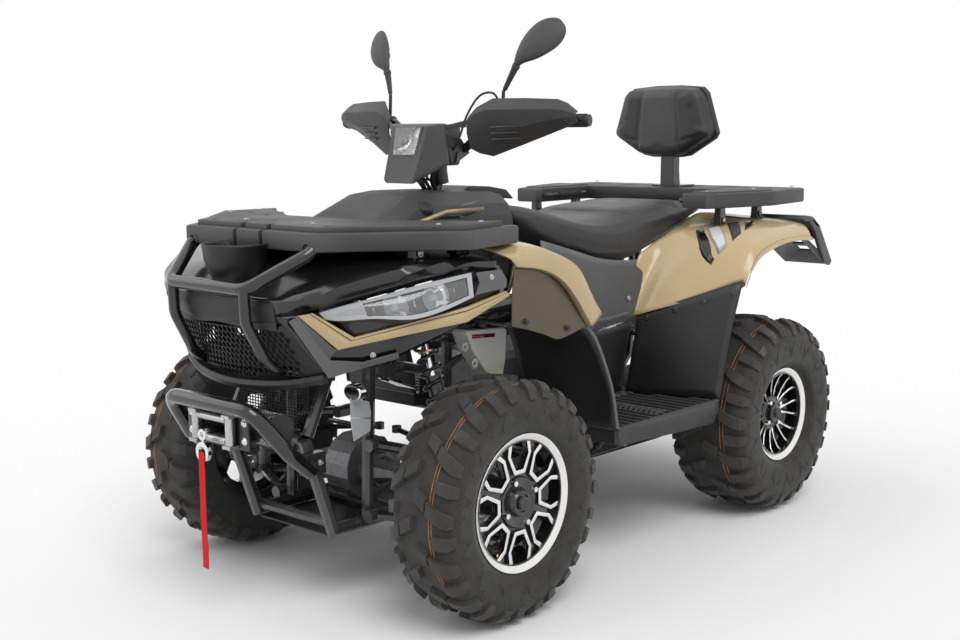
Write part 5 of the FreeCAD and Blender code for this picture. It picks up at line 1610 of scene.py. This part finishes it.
def bumpers():
    """Hoop with its uprights, and the guard round the winch."""
    upright = pipe(bent([(1126, 140, 841), (1124, 140, 763), (1064, 142, 652), (984, 152, 622)], 60), 0.014, 18)
    top = pipe(bent(through_both([(978, 232, 936), (1004, 228, 916), (1126, 147, 841)]), 40), 0.0165, 20)
    hoop = add("hoop_tubes", *merged([top, both(*upright)]), "gloss_steel", "black_steel", smooth=60)
    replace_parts(hoop, "bumper_hoop")
    guard = pipe(bent(through_both([(985, 196, 385), (1050, 196, 440), (1135, 162, 555)]), 52), 0.0195, 20)
    piece = add("guard_tube", *guard, "gloss_steel", "black_steel", smooth=60)
    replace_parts(piece, "winch_guard")
    add("guard_feet", *both(*brick(938, 1003, 172, 199, 376, 430, 0.97)), "coated", "black_steel", bevel=0.002)
    screws = screw_heads(((955, 199, 404), (985, 199, 404)), (0, 1, 0), 0.0065, 0.004)
    add("guard_screws", *both(*screws), "steel", "black_steel")


def winch_gear():
    """Roller fairlead on its black plate, bands round the winch's motor and its lead."""
    x = 1106
    points, faces = flat_plate([rectangle(-0.119, 0.119, -0.046, 0.046),
                                rectangle(-0.060, 0.060, -0.024, 0.024)],
                               0.006, 0.0006)
    verts = [at(x + 3, 0, 493) + Vector((p.z, p.x, p.y)) for p in points]
    plate = add("fairlead_plate", verts, faces, "coated", "bright_steel")
    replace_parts(plate, "fairlead")
    rollers = [both(*bar(at(x + 20, 66, 457), at(x + 20, 66, 527), 0.0112, 24))]
    rollers += [bar(at(x + 20, -55, z), at(x + 20, 55, z), 0.0092, 24) for z in (518, 466)]
    add("fairlead_rollers", *merged(rollers), "zinc", "bright_steel", bevel=0.001)
    ends = [brick(x + 1, x + 34, 51, 81, z, z + 8, 0.98) for z in (449, 525)]
    ends += [bar(at(x + 20, 66, z - 4), at(x + 20, 66, z + 13), 0.006) for z in (449, 525)]
    add("fairlead_ends", *both(*merged(ends)), "zinc", "bright_steel", bevel=0.001)
    screws = screw_heads(((x + 6, 104, 470), (x + 6, 104, 515)), (1, 0, 0), 0.0065, 0.005)
    add("fairlead_screws", *both(*screws), "chrome", "bright_steel")
    bands = [bar(at(1045, y - 3, 490), at(1045, y + 3, 490), 0.0435, 32) for y in (60, 72, 84, 146, -60, -126)]
    add("winch_bands", *merged(bands), "coated", "winch_black", bevel=0.001)
    loop = hose(spots((1052, 150, 524), (1078, 158, 531), (1096, 166, 514), (1092, 168, 486), (1070, 160, 466),
                      (1050, 150, 458)), 0.0028, 8, 40)
    add("motor_lead", *loop, "light_grey", "winch_black", smooth=60)


def spring_unit(name, top, low):
    """Damper with its chrome rod, black coil, collar and eyes."""
    along = (low - top).normalized()
    long = (low - top).length
    side = along.orthogonal().normalized()
    other = along.cross(side)
    rounds, points, coil_radius = 7, 140, 0.0275
    coil = []
    for n in range(points + 1):
        share = n / points
        angle = 2 * math.pi * rounds * share
        across = (side * math.cos(angle) + other * math.sin(angle)) * coil_radius
        coil.append(top + along * (0.032 + (long - 0.096) * share) + across)

    def rod(start, end, radius, count):
        """A bar on the unit's axis, from metres below the top to metres below the top."""
        return bar(top + along * start, top + along * end, radius, count)

    body = [rod(0.022, 0.031, 0.033, 28), rod(long - 0.064, long - 0.054, 0.033, 28),
            rod(long - 0.054, long - 0.008, 0.014, 20), rod(0.006, 0.024, 0.014, 20),
            rod(long * 0.5, long - 0.05, 0.019, 24)]
    half_eye = Vector((0.014, 0, 0))
    body += [bar(spot - half_eye, spot + half_eye, 0.0155, 24) for spot in (top, low)]
    first = add(name + "_spring", *pipe(coil, 0.0046, 8), "gloss_steel", "shock_black", smooth=60)
    add(name + "_body", *merged(body), "coated", "shock_black", bevel=0.0012)
    add(name + "_shaft", *rod(0.02, long - 0.06, 0.0085, 20), "chrome", "shock_black")
    add(name + "_collar", *rod(long * 0.3, long * 0.3 + 0.006, 0.021, 24), "brass", "shock_black", bevel=0.001)
    return first


def springs():
    """Four spring units, upright ones at the rear and leaning ones at the front."""
    pieces = []
    for name, eyes in SHOCKS.items():
        for side, label in ((1, "left"), (-1, "right")):
            top, low = [at(x, side * y, z) for x, y, z in eyes]
            pieces.append(spring_unit(f"{name}_{label}", top, low))
    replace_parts(pieces[0], "shocks")


def pod():
    """Headlamp on the handlebar: faceted cowl with a fin and a flap on each side, and a dark screen."""
    rings = [
        spots((430, 70, 1213), (430, -70, 1213), (450, -63, 1132), (481, -56, 1066), (474, -52, 1056),
              (474, 52, 1056), (481, 56, 1066), (450, 63, 1132)),
        spots((404, 104, 1218), (404, -104, 1218), (402, -104, 1150), (398, -103, 1112), (392, -98, 1104),
              (392, 98, 1104), (398, 103, 1112), (402, 104, 1150)),
        spots((330, 96, 1208), (330, -96, 1208), (330, -96, 1150), (330, -94, 1110), (334, -90, 1104),
              (334, 90, 1104), (330, 94, 1110), (330, 96, 1150)),
    ]
    body = "steering"
    cowl = add("pod_cowl", *solid(rings), "mid_grey", "grey_plastic", body, smooth=20, bevel=0.004)
    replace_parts(cowl, "headlamp_pod")
    fin = spots((398, 98, 1190), (330, 92, 1176), (296, 92, 1136), (376, 98, 1104))
    sides("pod_fin", fin, [(0, 1, 2, 3)], "black", "grey_plastic", body, thick=0.006, bevel=0.001)
    flap = spots((352, 103, 1140), (298, 99, 1138), (372, 106, 1106), (362, 106, 1112))
    sides("pod_flap", flap, [(0, 1, 2, 3)], "mid_grey", "grey_plastic", body, thick=0.004, bevel=0.001)
    screen = spots((329, 52, 1196), (329, -52, 1196), (329, -46, 1132), (329, 46, 1132))
    add("pod_screen", screen, [(0, 1, 2, 3)], "gloss_black", "grey_plastic", body, thick=0.003, bevel=0.001)
    pod_lamp()


def pod_lamp():
    """The pod's lamp: bezel, folded reflector and lens."""
    body = "steering"
    outer = spots((434.5, 52, 1212), (434.5, -52, 1212), (456, -44, 1131), (456, 44, 1131))
    inner = spots((436.5, 47, 1208), (436.5, -47, 1208), (456.5, -40, 1135), (456.5, 40, 1135))
    add("pod_bezel", outer + inner, grid_faces(2, 4, closed=True), "light_grey", "grey_plastic", body,
        thick=0.004, bevel=0.0006)
    deep = [spot - Vector((0.018, 0, 0)) for spot in inner]
    centre = at(424, 0, 1172)
    verts = []
    for a, b in zip(deep, deep[1:] + deep[:1]):
        fold = a.lerp(b, 0.5).lerp(centre, 0.35)
        verts += [a, fold, centre, fold, b, centre]
    add("pod_reflector", verts, [(n, n + 1, n + 2) for n in range(0, len(verts), 3)], "chrome", "grey_plastic",
        body, smooth=5)
    glass = [spot + Vector((0.001, 0, 0)) for spot in inner]
    add("pod_lens", glass, [(0, 1, 2, 3)], "lens", "grey_plastic", body, thick=0.002)


def hand_guard():
    """Folded hand guard with three ribs, its arm to the pod and the bar's end plug."""
    body = "steering"
    # (distance off the middle, (x, z) of the four fold lines)
    columns = [
        (150, ((356, 1238), (366, 1226), (366, 1190), (352, 1150))),
        (172, ((346, 1262), (366, 1240), (362, 1190), (336, 1136))),
        (208, ((322, 1284), (358, 1253), (350, 1190), (321, 1128))),
        (300, ((300, 1283), (336, 1253), (328, 1205), (287, 1163))),
        (392, ((276, 1279), (309, 1253), (300, 1225), (263, 1197))),
        (422, ((270, 1268), (294, 1250), (289, 1230), (265, 1206))),
        (450, ((263, 1246), (274, 1241), (274, 1232), (263, 1218))),
    ]
    sheet = creased([[at(line[row][0], y, line[row][1]) for y, line in columns] for row in range(4)])
    pieces = sides("hand_guard", *sheet, "grey", "grey_plastic", body, thick=0.0045, bevel=0.003, smooth=25)
    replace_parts(pieces[0], "hand_guards")
    ribs = [pipe(spots((352 - n * 4, 222, 1206 - n * 16), (334 - n * 7, 300, 1209 - n * 16)), 0.0028, 8, 0.0012)
            for n in range(3)]
    sides("guard_ribs", *merged(ribs), "grey", "grey_plastic", body, smooth=60)
    arm = creased([spots((366, 150, 1226), (388, 118, 1216), (398, 104, 1214)),
                   spots((362, 152, 1212), (386, 118, 1203), (397, 104, 1202))])
    sides("guard_arm", *arm, "grey", "grey_plastic", body, thick=0.006, bevel=0.001)
    plug = bar(at(241, 444, BAR_HIGH), at(235, 468, BAR_HIGH), 0.0155, 24)
    bracket = pipe(spots((264, 452, 1232), (252, 456, 1226), (238, 456, BAR_HIGH)), 0.006, 12)
    sides("bar_plug", *merged([plug, bracket]), "black", "grey_plastic", body, bevel=0.002)


def mirror():
    """Stem in its boot, and a shell that bulges ahead with the glass behind."""
    body = "steering"
    # (x, y, z, half height, depth) along the head
    stations = ((272, 247, 1368, 9, 8), (269, 254, 1382, 14, 11), (263, 266, 1396, 26, 16),
                (254, 283, 1412, 38, 21), (244, 301, 1430, 45, 23), (233, 320, 1446, 47, 22),
                (223, 337, 1458, 43, 18), (214, 351, 1470, 31, 12), (210, 359, 1476, 15, 5))
    centres = [at(*station[:3]) for station in stations]
    flat = 7
    rings, glass = [], []
    for n, (x, y, z, half, deep) in enumerate(stations):
        run = centres[min(n + 1, len(centres) - 1)] - centres[max(n - 1, 0)]
        across = run.normalized().cross(Vector((1, 0, 0))).normalized()
        section = []
        for a in turns(24):
            out = math.cos(a)
            bulge = (deep if out > 0 else flat) * out
            section.append(centres[n] + (across * half * math.sin(a) + Vector((bulge, 0, 0))) / 1000)
        rings.append(section)
        if 2 <= n < len(stations) - 1:
            glass += [at(x - 7.6, y, z) + across * half * share / 1000 for share in (-0.8, 0.8)]
    pieces = sides("mirror_shell", *solid(rings), "mid_grey", "grey_plastic", body, smooth=180, rounds=1)
    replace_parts(pieces[0], "mirrors")
    sides("mirror_glass", glass, grid_faces(len(glass) // 2, 2), "mirror", "grey_plastic", body, thick=0.0008)
    rod = pipe(bent([(293, 217, 1236), (290, 217, 1300), (276, 240, 1352)], 12), 0.0048, 14)
    boot = pipe(curve_points(spots((288, 220, 1306), (281, 231, 1332), (272, 247, 1368)), 14), 0.0062, 20,
                0.0098)
    collars = [bar(at(273.5, 244.5, 1362), at(271, 249, 1371), 0.0108, 24),
               bar(at(293, 204, BAR_HIGH), at(293, 230, BAR_HIGH), 0.0185, 28)]
    sides("mirror_stem", *merged([rod, boot] + collars), "black", "grey_plastic", body, smooth=50)


def controls():
    """Smooth sleeve over the bar, grips, levers and brake reservoir."""
    body = "steering"
    half = [(235, 464, BAR_HIGH), (300, 190, BAR_HIGH), (318, 80, 1135)]
    add("bar_sleeve", *pipe(bent(through_both(half), 44), 0.0122, 20), "gloss_steel", "black_steel", body,
        smooth=60)
    grips = []
    half_ridge = Vector((0, 0.0016, 0))
    for n, share in enumerate(steps(0, 1, 30)):
        spot = at(256 - 20 * share, 366 + 88 * share, BAR_HIGH)
        grips.append(bar(spot - half_ridge, spot + half_ridge, 0.0178 if n % 2 else 0.0165, 24))
    grips.append(bar(at(257, 360, BAR_HIGH), at(238, 458, BAR_HIGH), 0.0168, 24))
    pieces = sides("hand_grip", *merged(grips), "grip", "grip_rubber", body, smooth=40)
    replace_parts(pieces[0], "grips")
    lever = curve_points(spots((300, 268, 1226), (302, 300, 1228), (290, 360, 1226), (278, 424, BAR_HIGH)), 16)
    parts = [bar(at(282, 262, BAR_HIGH), at(276, 290, BAR_HIGH), 0.02, 24),
             brick(276, 306, 256, 284, 1214, 1236),
             pipe(lever, 0.006, 12, 0.0045),
             bar(at(271, 312, BAR_HIGH), at(265, 346, BAR_HIGH), 0.0225, 24)]
    sides("lever", *merged(parts), "coated", "black_steel", body, bevel=0.001)
    box = [brick(262, 306, 214, 256, 1246, 1274, 0.92), brick(258, 310, 210, 260, 1272, 1282, 0.94),
           brick(270, 300, 226, 248, 1220, 1248)]
    add("brake_reservoir", *merged(box), "coated", "black_steel", body, bevel=0.002)


def steering_leads():
    """Brake hose, the bundle of leads under the pod, the stem and its two plates."""
    body = "steering"
    brake = spots((300, 216, 1262), (318, 206, 1296), (340, 176, 1290), (362, 150, 1240), (372, 130, 1180),
                  (366, 96, 1140))
    add("brake_hose", *hose(brake, 0.0032, 10, 40), "black", "black_steel", body, smooth=60)
    parts = []
    for n in range(9):
        y = -52 + n * 13
        sway = 10 * math.sin(n * 2.3)
        lead = spots((392 - n * 3, y, 1112), (384 + sway, y * 0.8, 1080), (366 - sway, y * 0.55, 1052),
                     (352, y * 0.5, 1034))
        parts.append(hose(lead, 0.0034, 8, 14))
    parts.append(bar(at(330, 0, 1140), at(312, 0, 1052), 0.024, 20))
    parts += [brick(296, 342, -44, 44, 1108, 1130), brick(300, 336, -92, 92, 1206, 1212)]
    add("steering_leads", *merged(parts), "black", "black_steel", body, smooth=50)


def coolant_bottle():
    """Milky bottle behind the front wheel, with its ears, cap, red mark and bracket."""
    slot = "black_plastic"
    outline = [(561, 688), (552, 694), (412, 686), (401, 676), (406, 600), (418, 552), (444, 552), (486, 576),
               (540, 640)]
    add("coolant_bottle", *side_plate(outline, 268, 322), "bottle", slot, bevel=0.006)
    ears = []
    for x, z in ((566, 652), (530, 604)):
        outer = [at(x + 12 * math.cos(a), 324, z + 13 * math.sin(a)) for a in turns(12)]
        inner = [at(x + 2 + 5 * math.cos(a), 324, z + 5 * math.sin(a)) for a in turns(12)]
        ears.append((outer + inner, grid_faces(2, 12, closed=True)))
    add("bottle_ears", *merged(ears), "bottle", slot, thick=0.003)
    add("bottle_cap", *bar(at(476, 295, 690), at(474, 295, 716), 0.019, 24), "black", slot, bevel=0.002)
    mark = spots((540, 323, 680), (452, 323, 674), (452, 323, 664), (540, 323, 670))
    add("bottle_band", mark, [(0, 1, 2, 3)], "red_glass", slot, thick=0.0006)
    bracket = [brick(470, 500, 150, 268, 640, 646), brick(464, 506, 262, 268, 600, 680)]
    add("bottle_bracket", *merged(bracket), "coated", slot, bevel=0.001)


def horn():
    """Bright oval horn on its folded bracket."""
    slot = "black_steel"
    oval = solid([[at(900, 268, 580) + Vector((half, 0.030 * math.cos(a), 0.021 * math.sin(a)))
                   for a in turns(28)]
                  for half in (0.012, -0.012)])
    add("horn", *oval, "chrome", slot, bevel=0.004)
    plate = spots((914, 262, 566), (852, 262, 548), (846, 262, 520), (850, 262, 474), (904, 262, 458),
                  (912, 262, 500))
    add("horn_bracket", plate, [(0, 1, 2, 3, 4, 5)], "silver", slot, thick=0.003, bevel=0.0008)
    fold = creased([spots((914, y, z), (846, y, z - 10)) for y, z in ((263, 522), (266, 516), (263, 510))])
    add("horn_bracket_fold", *fold, "silver", slot, thick=0.001)
    add("horn_arm", *brick(868, 892, 150, 262, 488, 494), "coated", slot, bevel=0.001)


# Strap on the winch hook

def strap():
    """Flat red strap that hangs from the hook."""
    line = [(1163, 0, 437), (1163, 0, 405), (1164, 0.5, 330), (1163.5, -1, 250), (1162.5, 1, 190),
            (1163, 0, 145)]
    curve = bpy.data.curves.new("strap", "CURVE")
    curve.dimensions = "3D"
    path = curve.splines.new("NURBS")
    path.points.add(len(line) - 1)
    for point, spot in zip(path.points, line):
        point.co = (*at(*spot), 1)
    path.order_u = 3
    path.use_endpoint_u = True
    curve.resolution_u = 12
    temp = bpy.data.objects.new("strap_line", curve)
    sampled = bpy.data.meshes.new_from_object(temp)
    middle = [v.co.copy() for v in sampled.vertices]
    bpy.data.objects.remove(temp)
    corners = ((-11, -1.1), (11, -1.1), (11, 1.1), (-11, 1.1))
    rings = []
    for n, spot in enumerate(middle):
        sway = 0.02 * math.sin(n * 0.35)
        rings.append([spot + Vector(((x + y * sway) / 1000, y / 1000, 0)) for y, x in corners])
    piece = add("winch_strap_web", *solid(rings), "webbing", "red_webbing", bevel=0.0003)
    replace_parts(piece, "winch_strap")


camera()
palette()
strap()
studio()
dress_nodes()
wheels()
hood()
headlamp_units()
flank()
nose()
front_fender()
front_guard()
rear_fender()
front_rack()
rear_rack()
rack_legs()
seat()
backrest()
middle_covers()
console()
footboard()
tail()
rear_flaps()
bumpers()
winch_gear()
springs()
pod()
hand_guard()
mirror()
controls()
steering_leads()
coolant_bottle()
horn()
